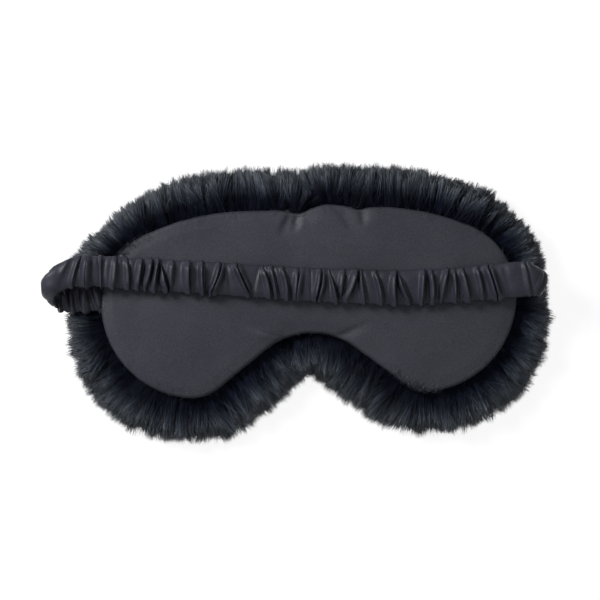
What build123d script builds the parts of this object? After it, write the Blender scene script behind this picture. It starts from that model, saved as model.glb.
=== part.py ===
"""Sleep eye mask: fur front, padded satin lining and a ruched elastic head strap.

The mask lies flat with its fur face down on Z = 0 and its satin lining up. X runs from
one temple to the other, +Y points to the brow and the nose notch is on the -Y side.
The origin is on the flat underside, in the mask's plane of symmetry.

From the bottom up the layers are the fur pile, its knitted backing, a blackout
interlining, the wadding and the lining. The strap leaves each side seam outwards as a
tail, turns over and comes back above the lining as one long run.
"""

import math
import os

from build123d import *

os.makedirs("parts", exist_ok=True)

# Driving dimensions, in millimetres and degrees.

# Seam line: the right half, from the middle of the brow round to the nose arch
brow_height = 44.4  # seam above the origin, at the brow
brow_flat = 31.0  # straight part of the brow, on each side of the middle
brow_radius = 119.5
brow_turn = 24.0  # angle that the brow arc turns through
temple_radius = 37.0
cheek_radius = 47.0
cheek_turn = 80.7
lobe_radius = 22.0
flank_slope = 37.5  # slope of the straight flank beside the nose
flank_length = 30.0

# Layers
pile_reach = 19.0  # how far the fur stands out past the seam
pile_under = 8.0  # pile flattened under the mask
pile_bottom_round = 3.0
pile_edge_round = 6.5
pile_strap_clearance = 0.3  # under the strap tails
pile_root_clearance = 0.6  # round the sewn edge
backing_thickness = 0.8
backing_depth = 4.0  # seam above the backing's flat underside
backing_round = 3.5
interlining_thickness = 0.4
lining_thickness = 0.6
crown_height = 6.0  # lining's top above the seam
crown_round = 5.5
seam_allowance = 6.5  # width of the turned-in edges
wadding_clearance = 0.5  # beside the turned-in edges
wadding_round = 2.0

# Strap
strap_head_gap = 5.0  # between the lining and the run above it
casing_width = 16.5
casing_thickness = 3.0
casing_wall = 0.6
elastic_width = 13.0
elastic_thickness = 1.2
strap_side_clearance = 0.3  # in the slots of the side seams
strap_left_reach = 130.0  # outermost point of the left fold
strap_right_reach = 115.0  # outermost point of the right fold
strap_seam_y = 5.0  # middle of the sewn ends, the same on both sides
strap_low_x = 50.0  # where the run comes closest to the nose
strap_low_y = 4.4
strap_bow_radius = 1020.0  # of the run's gentle bow, seen from above
strap_lead = 12.0  # run beside each fold that still drifts sideways
strap_lift_half = 30.0  # half length of the middle section that is lifted
strap_bend_steps = 6

# Threads
thread = 0.5
seam_stitch_inset = 1.8
closing_gap_centre = 9.0  # turning gap in the brow seam
closing_gap_length = 32.0
closing_pitch = 3.2
closing_thread = 0.4
closing_stitch_height = 1.4
closing_stitch_length = 1.2
bartack_inset = 4.6
bartack_width = 1.5
bartack_length = 12.0

# Levels, worked out from the layers
backing_level = pile_under
seam_level = backing_level + backing_depth
crown_level = seam_level + crown_height
tail_level = seam_level + casing_thickness / 2
run_level = crown_level + strap_head_gap + casing_thickness / 2
fold_level = (run_level + tail_level) / 2
fold_radius = (run_level - tail_level) / 2
left_fold_x = -(strap_left_reach - fold_radius - casing_thickness / 2)
right_fold_x = strap_right_reach - fold_radius - casing_thickness / 2
core_inset = seam_allowance + wadding_clearance


def mask_outline(grow):
    """Face inside the seam line moved outwards by grow, made of tangent arcs."""
    with BuildSketch() as sketch:
        with BuildLine():
            brow = Line((0, brow_height + grow), (brow_flat, brow_height + grow))
            brow_arc = JernArc(brow @ 1, brow % 1, brow_radius + grow, -brow_turn)
            temple = JernArc(brow_arc @ 1, brow_arc % 1, temple_radius + grow, brow_turn - 90)
            cheek = JernArc(temple @ 1, temple % 1, cheek_radius + grow, -cheek_turn)
            lobe_turn = 90 + flank_slope - cheek_turn
            lobe = JernArc(cheek @ 1, cheek % 1, lobe_radius + grow, -lobe_turn)
            flank = Line(lobe @ 1, lobe @ 1 + (lobe % 1) * flank_length)
            nose_radius = (flank @ 1).X / math.sin(math.radians(flank_slope))
            JernArc(flank @ 1, flank % 1, nose_radius, flank_slope)
            mirror(about=Plane.YZ)
        make_face()
    return sketch.sketch


def side_reach():
    """Distance from the middle of the mask to its side seam."""
    turn = math.radians(brow_turn)
    return brow_flat + brow_radius * math.sin(turn) + temple_radius * (1 - math.sin(turn))


def domed_block(grow, level, height, edge_round):
    """Block on the outline with its upper edge rounded, standing on level."""
    with BuildPart() as block:
        with BuildSketch(Plane.XY.offset(level)):
            add(mask_outline(grow))
        extrude(amount=height)
        fillet(block.faces().sort_by(Axis.Z)[-1].edges(), radius=edge_round)
    return block.part


def dished_block(grow, level, height, edge_round):
    """Block on the outline with its lower edge rounded, standing on level."""
    with BuildPart() as block:
        with BuildSketch(Plane.XY.offset(level)):
            add(mask_outline(grow))
        extrude(amount=height)
        fillet(block.faces().sort_by(Axis.Z)[0].edges(), radius=edge_round)
    return block.part


def outline_ring(outer, inner, level, height):
    """Flat ring that follows the outline, between two offsets of it."""
    with BuildPart() as ring:
        with BuildSketch(Plane.XY.offset(level)):
            add(mask_outline(outer))
            add(mask_outline(inner), mode=Mode.SUBTRACT)
        extrude(amount=height)
    return ring.part


def strap_slots():
    """Space that the sewn strap ends take in the side seams."""
    depth = 2 * core_inset
    with BuildPart() as slots:
        with BuildSketch(Plane.XY.offset(seam_level)):
            with Locations((-side_reach(), strap_seam_y), (side_reach(), strap_seam_y)):
                Rectangle(depth, casing_width + 2 * strap_side_clearance)
        extrude(amount=casing_thickness + strap_side_clearance)
    return slots.part


def bow_y(x):
    """Sideways place of the strap's run at x."""
    return strap_low_y + (x - strap_low_x) ** 2 / (2 * strap_bow_radius)


def fold_places(side):
    """Points (x, z, heading) from a sewn end round its fold, for the left or right side.

    side is -1 on the left and 1 on the right. The heading is in degrees from +X to +Z,
    along the strap from its left end to its right end.
    """
    fold_x = left_fold_x if side < 0 else right_fold_x
    places = [
        (side * (side_reach() - seam_allowance), tail_level, 180.0),
        (side * (side_reach() + strap_side_clearance), tail_level, 180.0),
    ]
    for step in range(strap_bend_steps + 1):
        turn = 180.0 * step / strap_bend_steps
        angle = math.radians(turn)
        x = fold_x + side * fold_radius * math.sin(angle)
        z = fold_level - fold_radius * math.cos(angle)
        places.append((x, z, 180.0 - turn if side < 0 else turn - 180.0))
    places.append((fold_x - side * strap_lead, run_level, 0.0))
    return places


def side_sections(side):
    """Section planes of the strap from a sewn end to the lifted middle section.

    The strap leaves its slot in the side seam straight, then drifts sideways at a steady
    rate until it meets the bow of the run.
    """
    places = fold_places(side)
    lengths = [0.0, 0.0]
    for (x0, z0, _), (x1, z1, _) in zip(places[1:], places[2:]):
        lengths.append(lengths[-1] + math.hypot(x1 - x0, z1 - z0))
    end_y = bow_y(places[-1][0])
    sections = []
    for (x, z, heading), length in zip(places, lengths):
        y = strap_seam_y + (end_y - strap_seam_y) * length / lengths[-1]
        sections.append(section_plane(x, y, z, heading))
    run_from = places[-1][0]
    run_to = side * strap_lift_half
    for share in (1 / 3, 2 / 3, 1):
        x = run_from + (run_to - run_from) * share
        sections.append(section_plane(x, bow_y(x), run_level, 0.0))
    return sections


def middle_sections():
    """Section planes of the middle section that lifts off the lining."""
    sections = []
    for x in (-strap_lift_half, 0.0, strap_lift_half):
        sections.append(section_plane(x, bow_y(x), run_level, 0.0))
    return sections


def section_plane(x, y, z, heading):
    """Plane square to the strap in side view, with its own x along the strap's width."""
    angle = math.radians(heading)
    along = (math.cos(angle), 0, math.sin(angle))
    return Plane(origin=(x, y, z), x_dir=(0, 1, 0), z_dir=along)


def strap_band(sections, width, thickness, sideways=0.0):
    """Band of rectangular section along the strap, shifted sideways in its own plane."""
    with BuildPart() as band:
        for plane in sections:
            with BuildSketch(plane):
                with Locations((sideways, 0)):
                    Rectangle(width, thickness)
        loft(ruled=True)
    return band.part


def strap_casing(sections):
    """Satin tube of the strap, open at both ends."""
    inner_width = casing_width - 2 * casing_wall
    inner_thickness = casing_thickness - 2 * casing_wall
    with BuildPart() as casing:
        add(strap_band(sections, casing_width, casing_thickness))
        add(strap_band(sections, inner_width, inner_thickness), mode=Mode.SUBTRACT)
    return casing.part


def save(part, name):
    """Label a finished piece and write it as its own STEP file."""
    part.label = name
    export_step(part, f"parts/{name}.step")


# Fur pile: the outer body of the front, with a pocket that the sewn mask sits in
pile_top = seam_level - pile_strap_clearance

with BuildPart() as fur_pile:
    with BuildSketch(Plane.XY):
        add(mask_outline(pile_reach))
    extrude(amount=pile_top)
    fillet(fur_pile.faces().sort_by(Axis.Z)[-1].edges(), radius=pile_edge_round)
    fillet(fur_pile.faces().sort_by(Axis.Z)[0].edges(), radius=pile_bottom_round)
    with BuildSketch(Plane.XY.offset(pile_under)):
        add(mask_outline(pile_root_clearance))
    extrude(amount=pile_top, mode=Mode.SUBTRACT)
save(fur_pile.part, "fur_pile")

# Knitted backing of the fur, a shallow dish with a turned-in edge
backing_hollow = dished_block(
    -backing_thickness,
    backing_level + backing_thickness,
    backing_depth,
    backing_round - backing_thickness,
)

with BuildPart() as fur_backing:
    add(dished_block(0, backing_level, backing_depth, backing_round))
    add(backing_hollow, mode=Mode.SUBTRACT)
    add(
        outline_ring(
            -backing_thickness / 2,
            -seam_allowance,
            seam_level - backing_thickness,
            backing_thickness,
        )
    )
save(fur_backing.part, "fur_backing")

# Blackout interlining, flat on the backing inside the turned-in edges
interlining_level = backing_level + backing_thickness

with BuildPart() as blackout_interlining:
    with BuildSketch(Plane.XY.offset(interlining_level)):
        add(mask_outline(-core_inset))
    extrude(amount=interlining_thickness)
save(blackout_interlining.part, "blackout_interlining")

# Wadding, from the interlining up to the lining
wadding_level = interlining_level + interlining_thickness
wadding_height = crown_level - lining_thickness - wadding_level

with BuildPart() as wadding:
    add(domed_block(-core_inset, wadding_level, wadding_height, wadding_round))
save(wadding.part, "wadding")

# Satin lining panel: a crowned skin with a turned-in edge and slots for the strap ends
lining_hollow = domed_block(
    -lining_thickness,
    seam_level,
    crown_height - lining_thickness,
    crown_round - lining_thickness,
)

with BuildPart() as lining_panel:
    add(domed_block(0, seam_level, crown_height, crown_round))
    add(lining_hollow, mode=Mode.SUBTRACT)
    add(outline_ring(-lining_thickness / 2, -seam_allowance, seam_level, lining_thickness))
    add(strap_slots(), mode=Mode.SUBTRACT)
save(lining_panel.part, "lining_panel")

# Stitching of the side and edge seam, on the lining's turned-in edge
with BuildPart() as perimeter_stitching:
    add(
        outline_ring(
            -seam_stitch_inset,
            -seam_stitch_inset - thread,
            seam_level + lining_thickness,
            thread,
        )
    )
    add(strap_slots(), mode=Mode.SUBTRACT)
save(perimeter_stitching.part, "perimeter_stitching")

# Hand stitches that close the turning gap in the brow seam
closing_count = int(closing_gap_length / closing_pitch) + 1
closing_y = brow_height + closing_thread / 2

with BuildPart() as closing_stitches:
    with BuildSketch(Plane.XY.offset(seam_level - closing_stitch_height / 2)):
        with Locations((closing_gap_centre, closing_y)):
            with GridLocations(closing_pitch, 1, closing_count, 1):
                Rectangle(closing_stitch_length, closing_thread)
    extrude(amount=closing_stitch_height)
save(closing_stitches.part, "closing_stitches")

# Bartacks that hold the sewn strap ends, on top of the tails inside the lining
for side, side_name in ((-1, "left"), (1, "right")):
    bartack_x = side * (side_reach() - bartack_inset)
    with BuildPart() as bartack:
        with BuildSketch(Plane.XY.offset(seam_level + casing_thickness)):
            with Locations((bartack_x, strap_seam_y)):
                Rectangle(bartack_width, bartack_length)
        extrude(amount=thread)
    save(bartack.part, f"strap_bartack_{side_name}")

# Strap: satin casing, flat elastic and the casing's seam thread, in three sections
seam_thread_y = -(casing_width / 2 - casing_wall - thread)
strap_sections = {
    "left": side_sections(-1),
    "middle": middle_sections(),
    "right": side_sections(1),
}

for section_name, sections in strap_sections.items():
    save(strap_casing(sections), f"strap_casing_{section_name}")
    elastic = strap_band(sections, elastic_width, elastic_thickness)
    save(elastic, f"strap_elastic_{section_name}")
    seam_thread = strap_band(sections, thread, thread, seam_thread_y)
    save(seam_thread, f"strap_seam_thread_{section_name}")
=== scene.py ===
"""Looks of a sleep eye mask: satin lining, ruched strap and long faux fur.

The mask lies on its fur face with the lining up. Sizes are in metres, in the frame of
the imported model, and every place is worked out from that model's nodes.
"""

import logging
import math
from dataclasses import dataclass, field
from enum import Enum
from typing import ClassVar

import bmesh
import bpy
import numpy as np
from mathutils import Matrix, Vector, noise


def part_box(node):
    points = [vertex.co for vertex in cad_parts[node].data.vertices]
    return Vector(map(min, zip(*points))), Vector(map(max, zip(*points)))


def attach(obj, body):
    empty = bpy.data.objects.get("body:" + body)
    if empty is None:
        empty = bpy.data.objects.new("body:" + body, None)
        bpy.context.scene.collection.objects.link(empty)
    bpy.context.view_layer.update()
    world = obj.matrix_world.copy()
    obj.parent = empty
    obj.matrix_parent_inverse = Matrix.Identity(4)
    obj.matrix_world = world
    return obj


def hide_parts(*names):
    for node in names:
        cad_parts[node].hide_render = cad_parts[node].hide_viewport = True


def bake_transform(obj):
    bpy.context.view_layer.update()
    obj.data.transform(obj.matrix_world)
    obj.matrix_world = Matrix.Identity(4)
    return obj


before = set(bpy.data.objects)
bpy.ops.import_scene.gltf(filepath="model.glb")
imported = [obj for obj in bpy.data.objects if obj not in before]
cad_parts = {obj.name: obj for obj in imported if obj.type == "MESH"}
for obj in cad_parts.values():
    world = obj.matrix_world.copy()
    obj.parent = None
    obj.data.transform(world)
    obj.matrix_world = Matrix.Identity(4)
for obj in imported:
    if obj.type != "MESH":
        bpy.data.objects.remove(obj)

MM = 0.001

# Distances within which two points become one, and the smallest divisor.
WELD = 1e-6
FINE_WELD = 1e-7
TINY = 1e-9

log = logging.getLogger("sleep_mask")


# ---------------------------------------------------------------- small helpers


def smooth_step(values: np.ndarray, low: float, high: float) -> np.ndarray:
    """Smooth ramp from 0 at low to 1 at high.

    Args:
        values: Any numbers.
        low: Where the ramp starts.
        high: Where the ramp ends.

    Returns:
        The ramp's height for each value.
    """
    t = np.clip((values - low) / (high - low), 0.0, 1.0)
    return t * t * (3.0 - 2.0 * t)


def bump_curve(values: np.ndarray, centre: float, width: float) -> np.ndarray:
    """Bell curve of height 1 with its half width at 1/e."""
    return np.exp(-(((values - centre) / width) ** 2))


@dataclass(frozen=True)
class Bump:
    """A bell-shaped change round one place."""

    centre: float
    width: float
    amount: float

    def at(self, values: np.ndarray) -> np.ndarray:
        """The change at each place."""
        return self.amount * bump_curve(values, self.centre, self.width)


def soft_noise(points: np.ndarray, scale: float, seed: float) -> np.ndarray:
    """Smooth noise between about -1 and 1.

    Args:
        points: Places, one row each, with 1 to 3 columns.
        scale: Size of the noise's bumps, in the units of the points.
        seed: Picks another pattern.

    Returns:
        One value for each place.
    """
    padded = np.zeros((len(points), 3))
    padded[:, : points.shape[1]] = points / scale
    shift = Vector((seed * 7.3, seed * 3.1, seed * 5.7))
    return np.array([noise.noise(Vector(p) + shift) for p in padded])


@dataclass(frozen=True)
class Ripple:
    """Soft unevenness of one size."""

    scale: float
    height: float
    seed: float

    def at(self, points: np.ndarray) -> np.ndarray:
        """Heights of the ripple at places, one row each."""
        return self.height * soft_noise(points, self.scale, self.seed)


def between(lattice: np.ndarray, places: np.ndarray) -> np.ndarray:
    """Values between the points of a lattice.

    Args:
        lattice: Values, as column, row and coordinate.
        places: Places on the lattice, from 0 to 1 each way.

    Returns:
        One row of values for each place.
    """
    spot = places * (np.array(lattice.shape[:2]) - 1)
    low = np.minimum(np.floor(spot).astype(int), np.array(lattice.shape[:2]) - 2)
    rest = spot - low
    right, up = rest[:, :1], rest[:, 1:]
    column, row = low[:, 0], low[:, 1]
    lower = lattice[column, row] * (1 - right) + lattice[column + 1, row] * right
    upper = lattice[column, row + 1] * (1 - right) + lattice[column + 1, row + 1] * right
    return lower * (1 - up) + upper * up


def grid_mesh(columns: int, rows: int) -> tuple[bmesh.types.BMesh, np.ndarray]:
    """Flat grid and the place of each vertex on it.

    Args:
        columns: Number of cells along the first direction.
        rows: Number of cells along the second direction.

    Returns:
        The grid's bmesh, and a row of two numbers from 0 to 1 for each vertex.
    """
    mesh = bmesh.new()
    bmesh.ops.create_grid(mesh, x_segments=columns, y_segments=rows, size=1.0)
    places = np.array([v.co[:2] for v in mesh.verts]) * 0.5 + 0.5
    return mesh, places


def place_verts(mesh: bmesh.types.BMesh, places: np.ndarray) -> None:
    """Move each vertex of a bmesh to its new place."""
    for vert, place in zip(mesh.verts, places):
        vert.co = place


def close_ends(mesh: bmesh.types.BMesh, weld: float, crisp: bool = False) -> None:
    """Weld a tube's long seam and close its open ends.

    Args:
        mesh: The tube.
        weld: Distance within which two points become one.
        crisp: Whether the ends keep a crisp rim.
    """
    bmesh.ops.remove_doubles(mesh, verts=mesh.verts, dist=weld)
    ends = [e for e in mesh.edges if e.is_boundary]
    for rim in ends:
        rim.smooth = not crisp
    bmesh.ops.holes_fill(mesh, edges=ends, sides=0)
    bmesh.ops.recalc_face_normals(mesh, faces=mesh.faces)


def finish_piece(mesh: bmesh.types.BMesh, name: str, material: bpy.types.Material) -> bpy.types.Object:
    """Turn a bmesh into a smooth shaded object at the origin.

    Args:
        mesh: The finished bmesh, which is freed.
        name: The piece's name.
        material: Its material.

    Returns:
        The new object.
    """
    data = bpy.data.meshes.new(name)
    mesh.to_mesh(data)
    mesh.free()
    data.materials.append(material)
    data.polygons.foreach_set("use_smooth", [True] * len(data.polygons))
    piece = bpy.data.objects.new(name, data)
    bpy.context.scene.collection.objects.link(piece)
    return piece


# ---------------------------------------------------------------- materials


class NodeBoard:
    """A material's or a group's nodes, with short calls to add and join them."""

    def __init__(self, tree: bpy.types.NodeTree) -> None:
        """Keep the tree that the nodes go on."""
        self.tree = tree

    def add(self, kind: str, **values: object) -> bpy.types.Node:
        """Add a node and set its properties and inputs.

        Args:
            kind: The node's type name.
            **values: Properties by name, or inputs by name with spaces as underscores.

        Returns:
            The new node.
        """
        node = self.tree.nodes.new(kind)
        for name, value in values.items():
            if hasattr(node, name):
                setattr(node, name, value)
            else:
                node.inputs[name.replace("_", " ")].default_value = value
        return node

    def join(self, source: bpy.types.NodeSocket, target: bpy.types.NodeSocket) -> None:
        """Link an output socket to an input socket."""
        self.tree.links.new(source, target)

    def calc(
        self, operation: str, *given: bpy.types.NodeSocket | float, **values: object
    ) -> bpy.types.NodeSocket:
        """Math node that takes sockets and plain numbers.

        Args:
            operation: What it does.
            *given: Its inputs, in order.
            **values: Other properties of the node, by name.

        Returns:
            The node's output.
        """
        node = self.add("ShaderNodeMath", operation=operation, **values)
        for value, target in zip(given, node.inputs):
            if isinstance(value, bpy.types.NodeSocket):
                self.join(value, target)
            else:
                target.default_value = value
        return node.outputs[0]

    def ramp(self, source: bpy.types.NodeSocket, stops: list[tuple[float, tuple]]) -> bpy.types.NodeSocket:
        """Colour ramp driven by a socket.

        Args:
            source: The socket with the factor.
            stops: Positions and colours, in order.

        Returns:
            The ramp's colour output.
        """
        node = self.tree.nodes.new("ShaderNodeValToRGB")
        elements = node.color_ramp.elements
        while len(elements) < len(stops):
            elements.new(0.5)
        for element, (position, colour) in zip(elements, stops):
            element.position = position
            element.color = (*colour, 1.0)
        self.join(source, node.inputs["Fac"])
        return node.outputs["Color"]


def new_material(name: str) -> tuple[bpy.types.Material, NodeBoard, bpy.types.Node]:
    """Start a material.

    Args:
        name: Its name.

    Returns:
        The material, its nodes and its Principled shader.
    """
    made = bpy.data.materials.new(name)
    made.use_nodes = True
    return made, NodeBoard(made.node_tree), made.node_tree.nodes["Principled BSDF"]


def weave_group() -> bpy.types.NodeTree:
    """Shader group for a fine woven or knitted surface.

    Returns:
        The group, with inputs Colour, Light Colour, Pitch, Relief, Mottle and
        Roughness, and outputs Colour, Roughness and Normal.
    """
    group = bpy.data.node_groups.new("woven_surface", "ShaderNodeTree")
    for name, kind, value in (
        ("Colour", "NodeSocketColor", (0.05, 0.05, 0.06, 1.0)),
        ("Light Colour", "NodeSocketColor", (0.08, 0.08, 0.09, 1.0)),
        ("Pitch", "NodeSocketFloat", 3000.0),
        ("Relief", "NodeSocketFloat", 0.15),
        ("Mottle", "NodeSocketFloat", 0.5),
        ("Roughness", "NodeSocketFloat", 0.5),
    ):
        socket = group.interface.new_socket(name=name, in_out="INPUT", socket_type=kind)
        socket.default_value = value
    for name, kind in (
        ("Colour", "NodeSocketColor"),
        ("Roughness", "NodeSocketFloat"),
        ("Normal", "NodeSocketVector"),
    ):
        group.interface.new_socket(name=name, in_out="OUTPUT", socket_type=kind)
    board = NodeBoard(group)
    given = board.add("NodeGroupInput").outputs
    result = board.add("NodeGroupOutput").inputs
    place = board.add("ShaderNodeTexCoord").outputs["Object"]
    threads = []
    for direction in ("X", "Y"):
        wave = board.add("ShaderNodeTexWave", bands_direction=direction, Distortion=1.5, Detail=2.0)
        board.join(place, wave.inputs["Vector"])
        board.join(given["Pitch"], wave.inputs["Scale"])
        threads.append(wave.outputs["Fac"])
    crossings = board.calc("ADD", *threads)
    patches = []
    for scale, detail, rough in ((38.0, 4.0, 0.55), (1150.0, 3.0, 0.65)):
        texture = board.add("ShaderNodeTexNoise", Scale=scale, Detail=detail, Roughness=rough)
        board.join(place, texture.inputs["Vector"])
        patches.append(texture.outputs["Fac"])
    cloud, grain = patches
    spread = board.calc("MULTIPLY_ADD", grain, 1.7, cloud)
    share = board.calc("MULTIPLY", board.calc("SUBTRACT", spread, 1.1), given["Mottle"], use_clamp=True)
    colour = board.add("ShaderNodeMix", data_type="RGBA")
    board.join(share, colour.inputs["Factor"])
    board.join(given["Colour"], colour.inputs[6])
    board.join(given["Light Colour"], colour.inputs[7])
    relief = board.add("ShaderNodeBump", Distance=0.06 * MM)
    board.join(crossings, relief.inputs["Height"])
    board.join(given["Relief"], relief.inputs["Strength"])
    board.join(colour.outputs[2], result["Colour"])
    board.join(board.calc("MULTIPLY_ADD", cloud, 0.12, given["Roughness"]), result["Roughness"])
    board.join(relief.outputs["Normal"], result["Normal"])
    return group


@dataclass(frozen=True)
class ClothFinish:
    """A woven or knitted finish."""

    name: str
    slot: str
    colour: tuple[float, float, float]
    light_colour: tuple[float, float, float]
    roughness: float
    pitch: float
    relief: float
    mottle: float = 0.5
    specular: float = 0.5

    def material(self, weave: bpy.types.NodeTree) -> bpy.types.Material:
        """Build the material.

        Args:
            weave: The shared woven surface group.

        Returns:
            The finished material.
        """
        made, board, shader = new_material(self.name)
        surface = board.add(
            "ShaderNodeGroup",
            node_tree=weave,
            Colour=(*self.colour, 1.0),
            Light_Colour=(*self.light_colour, 1.0),
            Pitch=self.pitch,
            Relief=self.relief,
            Mottle=self.mottle,
            Roughness=self.roughness,
        )
        for output, target in (("Colour", "Base Color"), ("Roughness", "Roughness"), ("Normal", "Normal")):
            board.join(surface.outputs[output], shader.inputs[target])
        shader.inputs["Specular IOR Level"].default_value = self.specular
        return made


@dataclass(frozen=True)
class FurFinish:
    """Finish of the pile, from a dark root to a grey tip: partly the fibres' own colour, partly painted
    shade deep in the pile and painted light on the tips.
    """

    name: str
    root: tuple[float, float, float]
    middle: tuple[float, float, float]
    tip: tuple[float, float, float]
    roughness: float = 0.5
    specular: float = 0.06
    root_end: float = 0.37
    middle_at: float = 0.66

    def material(self) -> bpy.types.Material:
        """Build the material from the strands' attributes: the place along each strand, and a shade that
        holds their own tone and also painted light and shade.

        Returns:
            The finished material.
        """
        made, board, shader = new_material(self.name)
        along = board.add("ShaderNodeAttribute", attribute_name="along")
        shade = board.add("ShaderNodeAttribute", attribute_name="shade")
        stops = [
            (0.0, self.root),
            (self.root_end, self.root),
            (self.middle_at, self.middle),
            (1.0, self.tip),
        ]
        ramp = board.ramp(along.outputs["Fac"], stops)
        tint = board.add("ShaderNodeMix", data_type="RGBA", blend_type="MULTIPLY")
        tint.inputs["Factor"].default_value = 1.0
        board.join(ramp, tint.inputs[6])
        board.join(shade.outputs["Fac"], tint.inputs[7])
        board.join(tint.outputs[2], shader.inputs["Base Color"])
        shader.inputs["Roughness"].default_value = self.roughness
        shader.inputs["Specular IOR Level"].default_value = self.specular
        return made


class Finishes:
    """Every finish of the mask, built once."""

    satin = ClothFinish(
        name="charcoal_satin",
        slot="satin",
        colour=(0.019, 0.020, 0.028),
        light_colour=(0.048, 0.049, 0.062),
        roughness=0.46,
        pitch=1900.0,
        relief=0.12,
        mottle=0.9,
        specular=0.22,
    )
    # The strap's satin is the lining's fabric given a darker colour: painted shade among the gathers.
    strap_satin_painted_shade = ClothFinish(
        name="ruched_satin_painted_shade",
        slot="satin",
        colour=(0.0124, 0.0130, 0.0203),
        light_colour=(0.0318, 0.0324, 0.0483),
        roughness=0.38,
        pitch=1900.0,
        relief=0.12,
        mottle=0.9,
        specular=0.19,
    )
    knit = ClothFinish(
        name="black_knit",
        slot="backing_knit",
        colour=(0.012, 0.012, 0.014),
        light_colour=(0.025, 0.025, 0.028),
        roughness=0.85,
        pitch=900.0,
        relief=0.6,
    )
    blackout = ClothFinish(
        name="blackout_cloth",
        slot="blackout_cloth",
        colour=(0.008, 0.008, 0.009),
        light_colour=(0.015, 0.015, 0.016),
        roughness=0.8,
        pitch=1400.0,
        relief=0.4,
    )
    wadding = ClothFinish(
        name="white_wadding",
        slot="wadding",
        colour=(0.62, 0.62, 0.60),
        light_colour=(0.80, 0.80, 0.78),
        roughness=0.95,
        pitch=300.0,
        relief=1.0,
        mottle=1.4,
    )
    elastic = ClothFinish(
        name="braided_elastic",
        slot="elastic",
        colour=(0.018, 0.018, 0.020),
        light_colour=(0.040, 0.040, 0.043),
        roughness=0.7,
        pitch=700.0,
        relief=1.0,
    )
    thread = ClothFinish(
        name="sewing_thread",
        slot="thread",
        colour=(0.007, 0.007, 0.010),
        light_colour=(0.014, 0.014, 0.018),
        roughness=0.7,
        pitch=2400.0,
        relief=0.8,
    )
    # The near-black root is partly painted shade deep in the pile, and the grey tip is partly painted light
    # on the tips.
    fur = FurFinish(
        name="long_pile",
        root=(0.0032, 0.0042, 0.0100),
        middle=(0.0350, 0.0425, 0.0570),
        tip=(0.128, 0.140, 0.155),
    )

    def __init__(self) -> None:
        """Build the materials."""
        weave = weave_group()
        satins = (self.satin, self.strap_satin_painted_shade)
        inner = (self.knit, self.blackout, self.wadding, self.elastic, self.thread)
        self.made = {cloth.name: cloth.material(weave) for cloth in satins + inner}
        self.made[self.fur.name] = self.fur.material()

    def of(self, finish: ClothFinish | FurFinish) -> bpy.types.Material:
        """Material of a finish."""
        return self.made[finish.name]

    def dress_node(self, node: str, finish: ClothFinish) -> None:
        """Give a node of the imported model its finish.

        Args:
            node: The node's name.
            finish: Its finish.
        """
        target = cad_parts[node]
        target.data.materials.clear()
        target.data.materials.append(self.of(finish))


# ---------------------------------------------------------------- the sewn edge


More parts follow.
